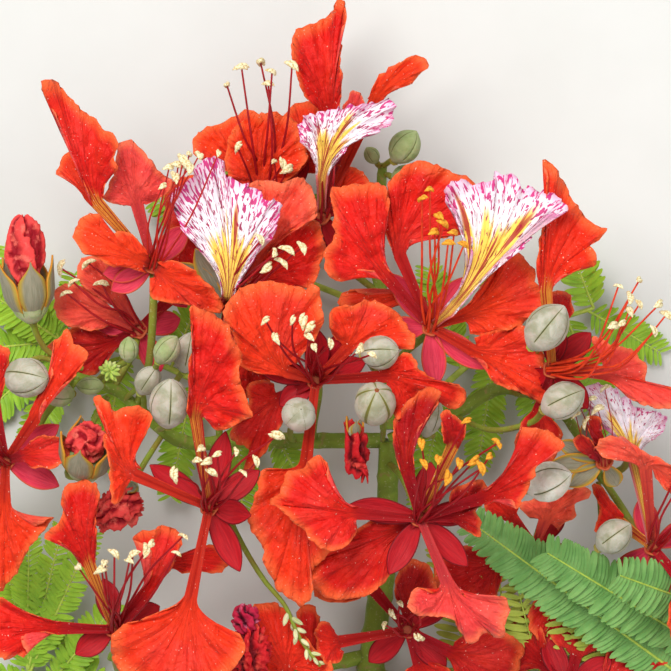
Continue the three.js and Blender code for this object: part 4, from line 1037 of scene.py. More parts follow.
# The rim in even steps, with small jags that calm down towards the foot
def jaggedRim(rim, neck, frilly, seed):
    look = ruffleLook
    if np.cross(rim[1:] - neck[:2], rim[:-1] - neck[:2]).sum() < 0:
        rim = rim[::-1]
    rim = wayThrough(np.column_stack([rim, np.zeros(len(rim))]), 4 * len(rim))[:, :2]
    steps = np.concatenate([[0], np.cumsum(np.linalg.norm(np.diff(rim, axis=0), axis=1))])
    finer = petalLook["finer"] if frilly else 1.0
    columns = int(np.clip(steps[-1] / petalLook["columnStep"] * finer, *petalLook["columns"]))
    v = np.linspace(-1, 1, columns)
    run = (v + 1) / 2 * steps[-1]
    spot = np.interp(run, steps, np.arange(len(rim)))
    rim = np.column_stack([np.interp(spot, np.arange(len(rim)), rim[:, k]) for k in (0, 1)])
    jag = np.array([wild(s / look["jagStep"], seed * 5.7, 0) for s in run])[:, :2]
    nick = np.array([wild(s / look["nickStep"], seed * 2.9, 4) for s in run])[:, :2]
    calm = np.clip(look["unrest"] * np.cos(v * math.pi / 2), look["calm"], 1)[:, None]
    return rim + (jag + look["nick"] * nick) * calm * look["frill" if frilly else "edge"], v, run


# Waves, folds, creases and pleats that grow towards the rim
def ruffles(bare, q, run, grown, seed, rough):
    look = ruffleLook
    flat = 0 * q + 0 * run
    wave = np.sin(2 * math.pi * run / look["broadLength"] + seed + 1.8 * roughen(bare, 14.0, seed))
    flutter = np.sin(2 * math.pi * run / look["fineLength"] + 2.4 * roughen(bare, 6.0, seed + 5))
    fan = np.stack([run / look["pleatStep"] + flat, 1.4 * q + flat, flat], axis=-1)
    pleat = crease(fan, 1.0, seed * 0.43) - 0.3
    rimRun = np.stack([run / look["brimStep"] + flat, flat, flat], axis=-1)
    brim = smooth(q, 0.72, 1.0) ** 2 * (0.3 + roughen(rimRun, 1.0, seed * 0.71))
    return grown * (
        look["broad"] * wave * q**2.2 + look["fine"] * rough * flutter * q**4
        + look["crumple"] * rough * roughen(bare, look["crumpleSize"], seed + 1)
        + look["creases"] * rough * crease(bare, look["creaseSize"], seed + 2)
        + look["wrinkles"] * rough * crease(bare, look["wrinkleSize"], seed + 4)
        + look["pleats"] * pleat * q**0.6 - look["brim"] * brim
    )


def petal(sheaf, centre, spec, seed):
    if "foot" in spec:
        x, y, height = spec["foot"]
        neck = np.array([*fromPhoto([x, y])[0], centre[2] + height])
        rim = fromPhoto(spec["rim"])
        topHeight = centre[2] + spec["top"]
    else:
        neck, tip = centre + spec["neck"], centre + spec["tip"]
        rim = plainRim(neck, tip, spec["width"], seed)
        topHeight = tip[2]
    frilly = spec["face"] == "streaked"
    rim, v, run = jaggedRim(rim, neck, frilly, seed)

    onward = unit(rim.mean(axis=0) - neck[:2])
    sideways = rightOf(onward)
    reach = max((rim - neck[:2]) @ onward)
    halfWidth = max(abs((rim - neck[:2]) @ sideways))
    base = centre + unit(level(neck - centre)) * petalLook["seat"]
    clawWay = unit((neck - base)[:2])
    clawSide = rightOf(clawWay)

    # The blade bends from the claw's way into its own, cups, rolls and folds
    q = np.linspace(0, 1, petalLook["bladeRows"])[:, None] ** petalLook["rowEase"]
    foot = neck[:2] + np.outer(v * petalLook["neckWidth"] / 2, clawSide)
    span = np.linalg.norm(rim - foot, axis=1)
    bend = foot + np.outer(span * spec["bend"], 0.6 * clawWay + 0.4 * onward)
    flat = (
        foot[None] * ((1 - q) ** 2)[..., None] + bend[None] * (2 * q * (1 - q))[..., None]
        + rim[None] * (q**2)[..., None]
    )
    s = np.clip((flat - neck[:2]) @ onward / reach, -0.3, 1.1)
    t = (flat - neck[:2]) @ sideways / halfWidth
    cup = math.radians(spec["cup"]) + 1e-4
    grown = smooth(q, 0.0, 0.6)
    height = neck[2] + (topHeight - neck[2]) * s + spec["bow"] * petalLook["arch"] * s * (1 - s)
    height = height + halfWidth * (1 - math.cos(cup)) / cup * t**2 * grown
    height = height + halfWidth * math.sin(math.radians(spec["roll"])) * t * grown
    bare = np.concatenate([flat, height[..., None]], axis=-1) + np.array([seed * 3.7, seed * 1.3, 0.0])
    foldSway = petalLook["foldSway"] * roughen(bare, petalLook["foldSize"], seed)
    height = height + spec["fold"] * (np.abs(t - petalLook["foldAt"] + foldSway) - 0.4) * grown
    small = min(1.0, halfWidth / 10)
    height = height + small * ruffles(bare, q, run[None, :], grown, seed, spec["crumple"])
    blade = np.concatenate([flat, height[..., None]], axis=-1)

    # The claw is an arched strip with a trough, and the blade's first rows settle onto its end
    u = np.linspace(0, 1, petalLook["clawRows"], endpoint=False)[:, None]
    broad = petalLook["clawWidth"] + (petalLook["neckWidth"] - petalLook["clawWidth"]) * u**2
    middle = base + (neck - base) * u[..., None] + up * (petalLook["clawArch"] * u * (1 - u))[..., None]
    trough = petalLook["trough"] * v[None, :] ** 2 * (1 - 0.7 * smooth(u, 0.7, 1.0))
    trough = trough + petalLook["thread"] * np.cos(9 * v)[None, :] * (1 - u)
    claw = middle + (v[None, :] * broad / 2)[..., None] * level(clawSide) + trough[..., None] * up
    settle = smooth(q, 0.0, 0.12)
    trough = 0.3 * petalLook["trough"] * v[None, :] ** 2 * (1 - settle)
    blade[..., 2] = blade[..., 2] * settle + (neck[2] + (height - height[:1]) * 0.5) * (1 - settle) + trough
    edge = np.concatenate([np.zeros(claw.shape[:2]), np.broadcast_to(q**1.5, blade.shape[:2])])
    share = petalLook["clawShare"]
    along = np.concatenate([share * u[:, 0], share + (1 - share) * q[:, 0]])
    tone = spec["tone"] + 2 * spec["golden"]  # two more marks a striped claw
    # A back face puts the paler far-side finish on top: painted light on petals that lie in shade
    slot, flip = 2 if frilly else 0, spec["face"] == "back"
    sheaf.grid(np.concatenate([claw, blade]), edge, tone, slot, flip=flip, along=along)


sepalLook = {
    "rows": 17, "columns": 11, "width": 8.6, "seat": 2.4, "drop": 2.2, "cup": 0.36, "sag": 3.84,
    "midrib": 0.25, "midribWidth": 0.16, "curl": 1.4, "lump": 0.35, "lumpSize": 5.0,
}


def sepal(sheaf, centre, step, seed, slot, width):
    look = sepalLook
    step = np.array(step, float)
    base = centre + unit(level(step)) * look["seat"] - up * look["drop"]
    tip = centre + step
    along = unit(tip - base)
    side = unit(np.cross(along, up))
    normal = np.cross(side, along)
    t = np.linspace(0, 1, look["rows"])[:, None]
    v = np.linspace(-1, 1, look["columns"])[None, :]
    belly = np.sin(math.pi * t)
    share = np.where(t < 0.5, 0.42 + 0.58 * belly, 1 - ((t - 0.5) / 0.5) ** 2.3) + 0.03
    half = width / 2 * share
    line = base + (tip - base) * t[..., None] + up * (look["sag"] * (t**2 - t))[..., None]
    trough = half * look["cup"] * v**2 + look["midrib"] * np.exp(-(v / look["midribWidth"]) ** 2) * belly
    curl = look["curl"] * noise.noise(Vector((seed * 3.1, 0.0, 0.0))) * belly * v
    grid = line + (half * v)[..., None] * side + (trough + curl)[..., None] * normal
    grid = grid + (look["lump"] * roughen(grid, look["lumpSize"], seed) * belly)[..., None] * normal
    sheaf.grid(grid, v**2 + 0 * t, 0.1 + 0.8 * ((seed * 0.37) % 1), slot)


cupLook = {
    "columns": 24, "lobe": 0.06,
    "profile": [(1.5, -5.2), (2.4, -4.2), (3.1, -2.0), (3.3, 0.0), (3.0, 0.5), (2.5, 0.0), (2.0, -1.0)],
}


def makeCup(name, centre):
    sheaf = Sheaf()
    turn = circle(cupLook["columns"])
    lobes = 1 + cupLook["lobe"] * np.cos(5 * turn)
    rings = [
        centre + np.stack([r * lobes * np.cos(turn), r * lobes * np.sin(turn), np.full_like(turn, h)], axis=1)
        for r, h in cupLook["profile"]
    ]
    sheaf.tube(np.array(rings))
    return sheaf.build(name, "cup")


stamenLook = {
    "foot": 1.9, "drop": 0.8, "root": 0.56, "end": 0.34, "steps": 14, "arch": 4.0, "wander": 4.0, "nod": 5,
    "sides": 6, "anther": 1.12,
}


def stamenWays(centre, stamens, seed):
    look = stamenLook
    ways = []
    thin = stamens.get("thin", 1.0)
    sweep = np.array(stamens.get("sweep", (0, 0, 0)), float)
    girth = np.linspace(look["root"], look["end"], look["steps"] + 1) * mm * thin
    for k, place in enumerate(fromPhoto(stamens["tips"])):
        angle = k * turnStep + seed
        sway = wild(seed * 2.3, k * 1.7, 0.0)
        out = np.array([math.cos(angle), math.sin(angle), 0.0])
        tip = np.array([*place, centre[2] + stamens["rise"] + look["nod"] * sway[2]])
        root = centre + out * look["foot"] - up * look["drop"]
        near = root + (tip - root) * 0.22 + up * look["arch"] * 0.7 + out * 1.2 + 0.7 * sweep
        bend = root + (tip - root) * 0.5 + up * look["arch"] + out * 1.4 + sweep
        bend = bend + sway * look["wander"] / thin
        ways.append((wayThrough([root, near, bend, tip], look["steps"]), girth))
    return ways


antherLook = {"length": 4.2, "girth": 0.66, "lump": 0.22, "columns": 8, "rows": 9}


# Two pollen sacs side by side, bent and lumpy
def makeAnther():
    sheaf = Sheaf()
    length, girth = antherLook["length"], antherLook["girth"]
    turn = circle(antherLook["columns"])
    for s in (-1, 1):
        rows = []
        for t in np.linspace(-1, 1, antherLook["rows"]):
            r = girth * math.sqrt(max(1 - abs(t) ** 2.6, 0.03))
            apart = girth * (0.8 - 0.5 * t * t + 0.3 * t)
            centre = np.array([t * length / 2 + 0.3 * s, s * apart, -0.9 * t * t])
            rows.append(centre + np.stack([0 * turn, r * np.cos(turn), r * np.sin(turn)], axis=1))
        rows = np.array(rows)
        lumps = antherLook["lump"] * roughen(rows, 0.7, s + 3)
        sheaf.tube(rows + lumps[..., None] * np.array([0.4, 1.0, 1.0]))
    return sheaf.build("antherShape", "anther", place=0)


stalkLook = {"root": 1.75, "top": 1.55, "foot": 1.25, "drop": 4.6, "steps": 6, "sides": 10}


def makeStalk(name, centre, stalk):
    look = stalkLook
    way = wayThrough([centre - up * look["drop"], *stalk], look["steps"] * (len(stalk) + 1))
    girth = np.linspace(look["top"], look["foot"], len(way)) * mm
    girth[:2] = look["root"] * mm
    return grow(name, [(way, girth)], limbTree, "stalk", sides=look["sides"])


def makeBlooms():
    anther = makeAnther()
    seed = 0
    for name, bloom in blooms.items():
        centre = np.array(bloom["at"], float)
        sheaf = Sheaf()
        for spec in bloom["petals"]:
            seed += 1
            petal(sheaf, centre, spec, seed)
        for step in bloom["sepals"]:
            seed += 1
            turned = bloom.get("sepalsTurned") or len(step) > 3
            width = bloom.get("sepalWidth", sepalLook["width"])
            sepal(sheaf, centre, step[:3], seed, 5 if turned else 4, width)
        # Each skin is followed by the one of its far side
        sepalSkin = bloom.get("sepalSkin", "sepal")
        skins = ["petal", "petalBack", "streaked", "streakedBack", sepalSkin, "sepalBack", sepalSkin]
        piece = sheaf.build(name + "_petals", *skins)
        addWall(piece, petalLook["thickness"], 0, 1)
        hand(piece, "petal", name)

        parts = [makeCup(name + "_cup", centre), makeStalk("stalkPart", centre, bloom["stalk"])]
        if "stamens" in bloom:
            ways = stamenWays(centre, bloom["stamens"], seed)
            antherSkin = "antherWarm" if bloom.get("warmAnthers") else "anther"
            filamentSkin = bloom.get("filaments", "filament")
            parts.append(grow("filamentPart", ways, limbTree, filamentSkin, sides=stamenLook["sides"]))
            parts.append(grow("antherPart", ways, antherTree, antherSkin, anther=anther, seed=seed,
                              size=stamenLook["anther"]))
        hand(joined(name + "_heart", parts), "petal")
    bpy.data.objects.remove(anther)
    print("blooms made:", len(blooms))


makeBlooms()

# Each bud has its middle, the way it points, its length and width, and the way its stalk runs to its axis
buds = {
    "bud_top": {
        "at": (25, 68, 50), "aim": (3, 4, 1), "size": (14, 11), "skin": "budGreen",
        "stalk": [(20, 63, 42), (17, 61, 36)],
    },
    "bud_top_small": {
        "at": (13, 65, 42), "aim": (-2, 3, 1), "size": (7, 5.5), "skin": "budGreen",
        "stalk": [(16, 61, 36)],
    },
    "bud_top_low": {
        "at": (25, 58, 42), "aim": (4, 1, 1), "size": (10, 7), "skin": "budGreen",
        "stalk": [(19, 58, 37), (17, 58, 34)],
    },
    "bud_right": {
        "at": (75, 3, 96), "aim": (4, 5, 2), "size": (20, 14.5), "turn": 1,
        "stalk": [(72, -6, 72), (65, -15, 50), (62, -19, 38)],
    },
    "bud_centre_small": {
        "at": (16, -6, 86), "aim": (5, 0.5, 3), "size": (15, 12), "turn": 1,
        "stalk": [(15, -14, 56), (18, -20, 26)],
    },
    "bud_centre": {
        "at": (14, -24, 92), "aim": (0.3, 2.3, 4.5), "size": (21, 14.5), "skin": "budRipe", "seam": 0.17,
        "stalk": [(17, -30, 70), (17, -36, 48), (17, -38, 28)],
    },
    "bud_centre_left": {
        "at": (-13, -28, 88), "aim": (0.6, 1.4, 5), "size": (14, 12), "seam": 0.014, "depth": 0.012,
        "stalk": [(-16, -33, 66), (-16, -37, 44), (-15, -38, 26)],
    },
    "bud_left": {
        "at": (-59, -24, 88), "aim": (0.4, 5, 2.6), "size": (19.5, 14), "turn": 1,
        "stalk": [(-62, -33, 74), (-64, -34, 54), (-62, -33, 38)],
    },
    "bud_left_upper": {
        "at": (-53, -6, 62), "aim": (1, 5, 1), "size": (15, 10), "turn": 1,
        "stalk": [(-57, -16, 52), (-65, -31, 38)],
    },
    "bud_left_green": {
        "at": (-60, -5, 74), "aim": (3, 4, 1), "size": (12, 9), "skin": "budGreen",
        "stalk": [(-66, -14, 62), (-76, -23, 44)],
    },
    "bud_hub_high": {
        "at": (-74, -5, 64), "aim": (0, 4, 1), "size": (9.5, 7), "skin": "budGreen",
        "stalk": [(-78, -11, 54), (-84, -17, 47)],
    },
    "bud_hub_left": {
        "at": (-88, -18, 62), "aim": (-4, 0, 1), "size": (10, 6.5), "skin": "budGreen",
        "stalk": [(-88, -17, 54), (-88, -17, 47)],
    },
    "bud_hub_far": {
        "at": (-99, -21, 66), "aim": (-4, 0, 2), "size": (12, 9), "skin": "budGreen",
        "stalk": [(-97, -19, 57), (-95, -14, 49)],
    },
    "bud_left_edge": {
        "at": (-110, -15, 74), "aim": (5, -0.3, 4), "size": (19, 14), "turn": 1,
        "stalk": [(-115, -13, 62), (-106, -8, 54), (-94, -13, 49)],
    },
    "bud_hub_right": {
        "at": (-67, -16, 66), "aim": (2, 3, 1), "size": (12, 9), "turn": 1,
        "stalk": [(-69, -22, 54), (-69, -28, 40)],
    },
    "bud_right_low": {
        "at": (81, -23, 84), "aim": (4, 2, 1), "size": (17, 13), "turn": 1,
        "stalk": [(70, -31, 68), (56, -34, 50), (43, -29, 33)],
    },
    # This bud lies in the shade of petals; its paler skin is painted light
    "bud_right_dark": {
        "at": (76, -52, 78), "aim": (4, 1.5, 1.5), "size": (18, 14), "skin": "budPaintedLight",
        "stalk": [(76, -57, 64), (88, -50, 48), (94, -46, 37)],
    },
    "bud_centre_green": {
        "at": (34, -29, 67), "aim": (1.1, 4, 1), "size": (15.5, 8.5),
        "stalk": [(35, -36, 52), (33, -33, 30)],
    },
    "bud_right_edge": {
        "at": (100, -72, 56), "aim": (4, 3, 1), "size": (15, 12), "turn": 1,
        "stalk": [(96, -76, 48), (95, -53, 36)],
    },
}
budLook = {
    "skin": "budGrey", "turn": 0, "seams": 5, "segment": 18, "rows": 30, "depth": 0.05, "seam": 0.07,
    "grooveWidth": 0.16, "lump": 0.03, "lumpSize": 5.0, "swell": 0.035,
    "profile": [
        (0, 0.20), (0.02, 0.30), (0.08, 0.50), (0.2, 0.80), (0.36, 0.97), (0.52, 1.0), (0.66, 0.93),
        (0.78, 0.77), (0.87, 0.56), (0.93, 0.35), (0.97, 0.20), (1.0, 0.04),
    ],
}


# An egg with a small point, in five sepals that meet at grooved seams. An odd turn moves the seams by half
# a sepal.
def budBody(sheaf, bud, slot=0):
    look = {**budLook, **bud}
    length, width = look["size"]
    onward = unit(look["aim"])
    side, other = crossways(onward)
    t = np.linspace(0, 1, look["rows"])
    profile = np.interp(t, *zip(*look["profile"])) * width / 2
    columns = look["seams"] * look["segment"]
    turn = circle(columns)
    away = np.abs((np.arange(columns) % look["segment"]) / look["segment"] - 0.5) * 2
    away = 1 - away if look["turn"] % 2 else away
    groove = np.exp(-(away / look["grooveWidth"]) ** 2)[None, :] * smooth(t, 0.1, 0.3)[:, None]
    bulge = np.sin(away * math.pi / 2)[None, :] * np.sin(math.pi * t)[:, None]
    ring = np.outer(np.cos(turn), other) + np.outer(np.sin(turn), side)
    line = np.array(look["at"], float) - onward * length / 2 + onward * (t * length)[:, None, None]
    bare = line + ring[None] * profile[:, None, None]
    swell = 1 - look["depth"] * groove + look["swell"] * bulge
    swell = swell + look["lump"] * roughen(bare, look["lumpSize"], look["turn"])
    rim = away[None, :] + 2 * (1 - smooth(t, 0.06, 0.22))[:, None]
    sheaf.tube(line + ring[None] * (profile[:, None] * swell)[..., None], rim, look["seam"], slot)


budStalkLook = {"seat": 0.46, "neck": (2.1, 1.6, 1.3), "neckFor": 12, "top": 1.2, "foot": 1.0, "sides": 8}


# The stalk starts inside the bud and flares there, less for a bud narrower than neckFor
def budStalk(bud):
    look = budStalkLook
    foot = np.array(bud["at"], float) - unit(bud["aim"]) * bud["size"][0] * look["seat"]
    way = wayThrough([foot, *bud["stalk"]], 6 * len(bud["stalk"]) + 4)
    girth = np.linspace(look["top"], look["foot"], len(way)) * mm
    girth[:3] = np.array(look["neck"]) * mm * min(1.0, bud["size"][1] / look["neckFor"])
    return grow("budStalkPart", [(way, girth)], limbTree, "stalk", sides=look["sides"])


def makeBuds():
    for name, bud in buds.items():
        sheaf = Sheaf()
        budBody(sheaf, bud)
        body = sheaf.build("budPart", bud.get("skin", budLook["skin"]))
        hand(joined(name + "_bud", [body, budStalk(bud)]), "bud", name)
    print("buds made:", len(buds))


makeBuds()

# Buds that have burst or withered: sepals that stand open round folded petals
burstBuds = {
    "burst_left_edge": {
        "at": (-110, 16, 62), "aim": (-0.5, 4, 0.8), "size": (24, 17), "skin": "crumpled", "turn": 0.1,
        "spread": 0.25,
        "petals": [
            {"step": (-1.5, 14, 4), "size": (7.2, 13.5, 6.5), "seed": 1, "spiral": 1.1, "depth": 0.26,
            "fine": 0.55, "wander": 0.8},
        ],
        "stalk": [(-107, 0, 56), (-103, -6, 52), (-91, -12, 48)],
    },
    "burst_left": {
        "at": (-89, -43, 72), "aim": (0.5, 3, 2.5), "size": (21, 18), "skin": "crumpled", "turn": 0.95,
        "spread": 0.16,
        "petals": [
            {"step": (0.5, 5, 4.5), "size": (7, 7.2, 6), "seed": 2, "pole": "z", "folds": 3, "spiral": 2.6,
            "depth": 0.32, "wander": 0.6},
        ],
        "stalk": [(-96, -50, 60), (-91, -38, 50), (-82, -22, 45)],
    },
    "withered_centre": {
        "at": (7, -33, 68), "aim": (0, 3, 1), "size": (8, 6), "open": 3,
        "petals": [
            {"step": (0.5, -9, -1), "size": (3.9, 11.5, 3.4), "seed": 3, "spiral": 1.2, "depth": 0.5,
            "fine": 2.2, "sway": 1.2, "lean": (7, 0, 0)},
        ],
        "stalk": [(7, -36, 50), (4, -38, 26)],
    },
    "withered_low_left": {
        "at": (-74, -56, 54), "aim": (-2, -3, 3), "size": (9, 7), "open": 3, "skin": "crumpled",
        "petals": [
            {"step": (-4, -7, 3), "size": (9, 8, 6), "seed": 4, "folds": 7, "depth": 0.36, "pole": "x",
            "fine": 1.5, "wander": 1.5, "lean": (0, -5, 0)},
        ],
        "stalk": [(-70, -48, 46), (-62, -35, 36)],
    },
    "withered_bottom": {
        "at": (-29, -112, 56), "aim": (-1, 3, 3), "size": (9, 8), "open": 3, "skin": "witheredDark",
        "petals": [
            {"step": (-3, 10.5, 7), "size": (4.6, 5, 4.6), "seed": 5, "folds": 6, "spiral": 2.0,
            "depth": 0.45, "fine": 2.6},
            {"step": (-1.5, -2, 5.5), "size": (7, 10.5, 5.5), "seed": 7, "folds": 7, "spiral": 1.2,
            "depth": 0.38, "fine": 2.4},
        ],
        "stalk": [(-29, -118, 40), (-30, -123, 20)],
    },
}
# Pole says which way the folds run, and lean how far the ends shear apart
crumpleLook = {
    "rows": 56, "columns": 96, "poleGap": 0.03, "pole": "y", "folds": 4, "spiral": 0.8, "depth": 0.24,
    "wander": 1, "broad": 0.55, "broadSize": 6.0, "narrow": 0.2, "narrowSize": 2.5, "lap": (0.86, 0.88),
    "sway": 0.2, "lean": (0, 0, 0), "fine": 1, "creases": 0.12, "creaseSize": 2.5,
}


# Petals still rolled round one another, each edge standing over the next
def crumple(sheaf, centre, spec, slot):
    look = {**crumpleLook, **spec}
    seed, size = look["seed"], np.array(look["size"], float)
    t = np.linspace(look["poleGap"], math.pi - look["poleGap"], look["rows"])[:, None]
    turn = circle(look["columns"])[None, :]
    across, over, high = np.sin(t) * np.cos(turn), np.sin(t) * np.sin(turn), -np.cos(t) + 0 * turn
    poles = {"x": [high, across, over], "y": [across, high, -over], "z": [across, over, high]}
    places = np.stack(poles[look["pole"]], axis=-1) * size
    wander = look["broad"] * roughen(places, look["broadSize"], seed)
    wander = (wander + look["narrow"] * roughen(places, look["narrowSize"], seed + 1)) * look["wander"]
    phase = (look["folds"] * turn / (2 * math.pi) + look["spiral"] * t / math.pi + wander) % 1
    step = smooth(phase, 0.0, look["lap"][0]) * (1 - smooth(phase, look["lap"][1], 1.0))
    bump = look["depth"] * np.sin(t) ** 0.5 * (step - 0.7)
    bump = bump + look["fine"] * look["creases"] * (crease(places, look["creaseSize"], seed) - 0.5)
    sway = np.array([wild(1.3 * v, seed * 3.1, 0.7) for v in t[:, 0]])[:, None, :]
    grid = centre + places * (0.95 + bump)[..., None] + sway * np.sin(t)[..., None] * min(size) * look["sway"]
    grid = grid + (0.5 - t / math.pi)[..., None] * np.array(look["lean"], float)
    # The step goes in as rim: the folded finish paints shade where it is low, under the lapping edge
    sheaf.tube(grid, step, slot=slot)


openLook = {
    "rows": 20, "columns": 11, "wide": 0.62, "keel": 0.07, "thickness": 0.7, "open": 5, "spread": 0.2,
    "drop": 0.15, "footLong": 0.7, "footWide": 0.8,
}


# A sepal of an open bud, hugging the petals inside like a boat, its tip a little out
def openSepal(sheaf, bud, turn, spread):
    length, width = bud["size"]
    onward = unit(bud["aim"])
    side, other = crossways(onward)
    t = np.linspace(0, 1, openLook["rows"])[:, None]
    v = np.linspace(-1, 1, openLook["columns"])[None, :]
    start = np.array(bud["at"], float) - onward * length / 2
    radius = width / 2 * (0.2 + 0.8 * np.sin(math.pi / 2 * np.clip(t / 0.5, 0, 1))) * (1 + spread * t**2)
    share = (0.45 + 0.55 * np.sin(math.pi * t**0.9)) * (1 - smooth(t, 0.66, 1.02)) + 0.03
    angle = turn + v * share * openLook["wide"]
    radius = radius * (1 + openLook["keel"] * (1 - np.abs(v)) * np.sin(math.pi * t))
    grid = (
        start + onward * (t * length + 0 * v)[..., None]
        + other * (radius * np.cos(angle))[..., None] + side * (radius * np.sin(angle))[..., None]
    )
    sheaf.grid(grid, v**2 + 0 * t, 0.5)


def makeBurstBuds():
    for seed, (name, bud) in enumerate(burstBuds.items()):
        at = np.array(bud["at"], float)
        length, width = bud["size"]
        sheaf = Sheaf()
        for k, petals in enumerate(bud["petals"]):
            crumple(sheaf, at + petals["step"], petals, 2 if k else 0)
        # The foot of the bud, still closed and green
        foot = at - openLook["drop"] * unit(bud["aim"]) * length
        size = (length * openLook["footLong"], width * openLook["footWide"])
        budBody(sheaf, {"at": foot, "aim": bud["aim"], "size": size, "turn": seed}, 1)
        body = sheaf.build("burstPart", bud.get("skin", "withered"), "budGreen", "withered")
        hand(joined(name + "_burst", [body, budStalk(bud)]), "burst_bud", name)
        sepals = Sheaf()
        count = bud.get("open", openLook["open"])
        for k in range(count):
            turn = 2 * math.pi * k / count + bud.get("turn", 0.0)
            openSepal(sepals, bud, turn, bud.get("spread", openLook["spread"]))
        calyx = sepals.build(name + "_sepals", "sepalBack")
        addWall(calyx, openLook["thickness"], -1)
        hand(calyx, "burst_bud", name)
    print("burst buds made:", len(burstBuds))


makeBurstBuds()

# Two sprigs too small for a node: a tuft at the end of the left axis and a thin stalk of young buds
sprigs = {
    "sprig_tip": {
        "way": [(-86, -17, 49), (-83, -14, 60), (-80.5, -12.5, 68)],
        "girth": (1.3, 0.9), "skin": "budFresh", "count": 16, "start": 0.80, "forward": 0.7,
    },
    "sprig_low": {
        "way": [
            (-46, -46, 46), (-36, -70, 58), (-26, -87, 62), (-18, -97, 60), (-12.7, -108.7, 57),
            (-5.5, -118.7, 55),
        ],
        "girth": (1.15, 0.6), "skin": "budYoung", "count": 13, "start": 0.64, "forward": 1.1,
    },
}
sprigLook = {"steps": 30, "size": (4.6, 1.7), "shrink": 0.4, "seat": 0.55, "rows": 9, "segment": 3}


def makeSprigs():
    steps = sprigLook["steps"]
    for name, sprig in sprigs.items():
        way = wayThrough(sprig["way"], steps)
        girth = np.linspace(*sprig["girth"], len(way)) * mm
        stalk = grow("sprigStalk", [(way, girth)], limbTree, "stalk", sides=8)
        sheaf = Sheaf()
        for k in range(sprig["count"]):
            place = sprig["start"] + (1 - sprig["start"]) * (k + 0.5) / sprig["count"]
            i = min(int(place * steps), steps - 1)
            onward = unit(way[i + 1] - way[i])
            side, other = crossways(onward, (0.2, 0.1, 1.0))
            out = side * math.cos(k * turnStep) + other * math.sin(k * turnStep)
            aim = unit(out + onward * sprig["forward"])
            share = 1.15 - sprigLook["shrink"] * k / sprig["count"]
            length, width = (v * share for v in sprigLook["size"])
            at = way[i] + aim * length * sprigLook["seat"]
            budBody(sheaf, {**sprigLook, "at": at, "aim": aim, "size": (length, width), "turn": k})
        hand(joined(name, [sheaf.build("sprigBuds", sprig["skin"]), stalk]), "bud")
    print("sprigs made:", len(sprigs))


makeSprigs()

# Each leaf has its rib and its sprays: side ribs, from where to where, and how long their leaflets are.
# A few sprays have a tint of their own.
leaves = {
    "leaf_right": {
        "rib": [(13, -134, 12), (50, -146, 10), (92, -142, 14), (128, -122, 22), (142, -92, 22)],
        "tint": "leafBlue", "lean": 1.08, "lift": 0.12, "twist": 0.35,
        "sprays": [
            ((126, -124, 21), (50, -68, 54), 12.5), ((133, -113, 22), (76, -78, 58), 12.5),
            ((139, -100, 22), (102, -86, 59), 12), ((141, -94, 22), (132, -74, 40), 8),
            ((92, -142, 14), (73, -87, 34), 11, "leafUnder"),
            ((66, -145, 11), (59, -86, 34), 11, "leafUnder"),
            ((80, -144, 12), (66, -92, 35), 11, "leafUnder"),
            ((110, -133, 17), (88, -100, 34), 10, "leafUnder"),
            ((102, -137, 16), (80, -98, 34), 10, "leafUnder"),
            ((54, -146, 10), (38, -76, 18), 10, "leafUnder"), ((141, -94, 22), (146, -52, 4), 9),
        ],
    },
    "leaf_low_left": {
        "rib": [(10, -138, 10), (-30, -148, 5), (-76, -142, 5), (-112, -122, 12)],
        "sprays": [
            ((-111, -122, 12), (-88, -72, 32), 8), ((-112, -122, 12), (-99, -70, 30), 8),
            ((-112, -122, 12), (-111, -72, 28), 8), ((-112, -122, 12), (-122, -66, 24), 10),
            ((-104, -127, 10), (-80, -98, 20), 9), ((-96, -132, 9), (-142, -124, 5), 10),
            ((-84, -138, 6), (-98, -108, 14), 9),
        ],
    },
    "leaf_left": {
        "rib": [(-20, -36, 24), (-56, -14, 12), (-84, -4, 7), (-100, -2, 7)],
        "sprays": [
            ((-100, -2, 7), (-138, 24, 20), 10), ((-99, -2, 7), (-134, -34, 4), 10),
            ((-90, -3, 7), (-95, 22, 12), 9), ((-100, -2, 7), (-120, 32, 16), 9),
            ((-100, -2, 7), (-140, -6, 12), 9), ((-94, -3, 7), (-112, -40, 14), 9),
            ((-78, -6, 8), (-84, -48, 12), 9), ((-52, -17, 13), (-60, -58, 12), 9),
            ((-36, -27, 18), (-34, -62, 12), 9), ((-22, -35, 23), (-6, -66, 14), 9),
            ((-60, -12, 11), (-46, 22, 8), 9),
        ],
    },
    "leaf_back_right": {
        "rib": [(23, -34, 26), (52, -8, 14), (76, 4, 10), (94, 10, 10)],
        "sprays": [
            ((94, 10, 10), (86, 30, 20), 10), ((92, 9, 10), (118, -6, 6), 9),
            ((84, 7, 10), (100, -34, 8), 9), ((70, 2, 11), (74, -38, 12), 9),
            ((58, -5, 13), (52, -46, 14), 9), ((40, -18, 18), (30, -62, 14), 8),
            ((46, -13, 16), (34, 24, 10), 9), ((62, -2, 12), (56, 34, 10), 9),
        ],
    },
    "leaf_back_top": {
        "rib": [(18, 8, 26), (-4, 17, 15), (-22, 24, 7), (-38, 32, 6)],
        "sprays": [
            ((-38, 32, 6), (-66, 50, 12), 9), ((-36, 30, 6), (-40, 66, 4), 9),
            ((-30, 28, 6), (-58, 20, 10), 9), ((-16, 21, 9), (-10, 50, 8), 9),
        ],
    },
}
leafLook = {
    "tint": "leafBright", "lean": 1.0, "lift": 0.25, "twist": 0.5,
    "pitch": {"leafBright": 1.85, "leafBlue": 1.5, "leafUnder": 3.1},
    "ribGirth": (1.35, 0.8), "ribSteps": 40, "sprayGirth": (0.6, 0.28), "sprayStep": 2.0, "sprayArch": 0.04,
    "sides": 6, "fullLeaflet": 10,
}
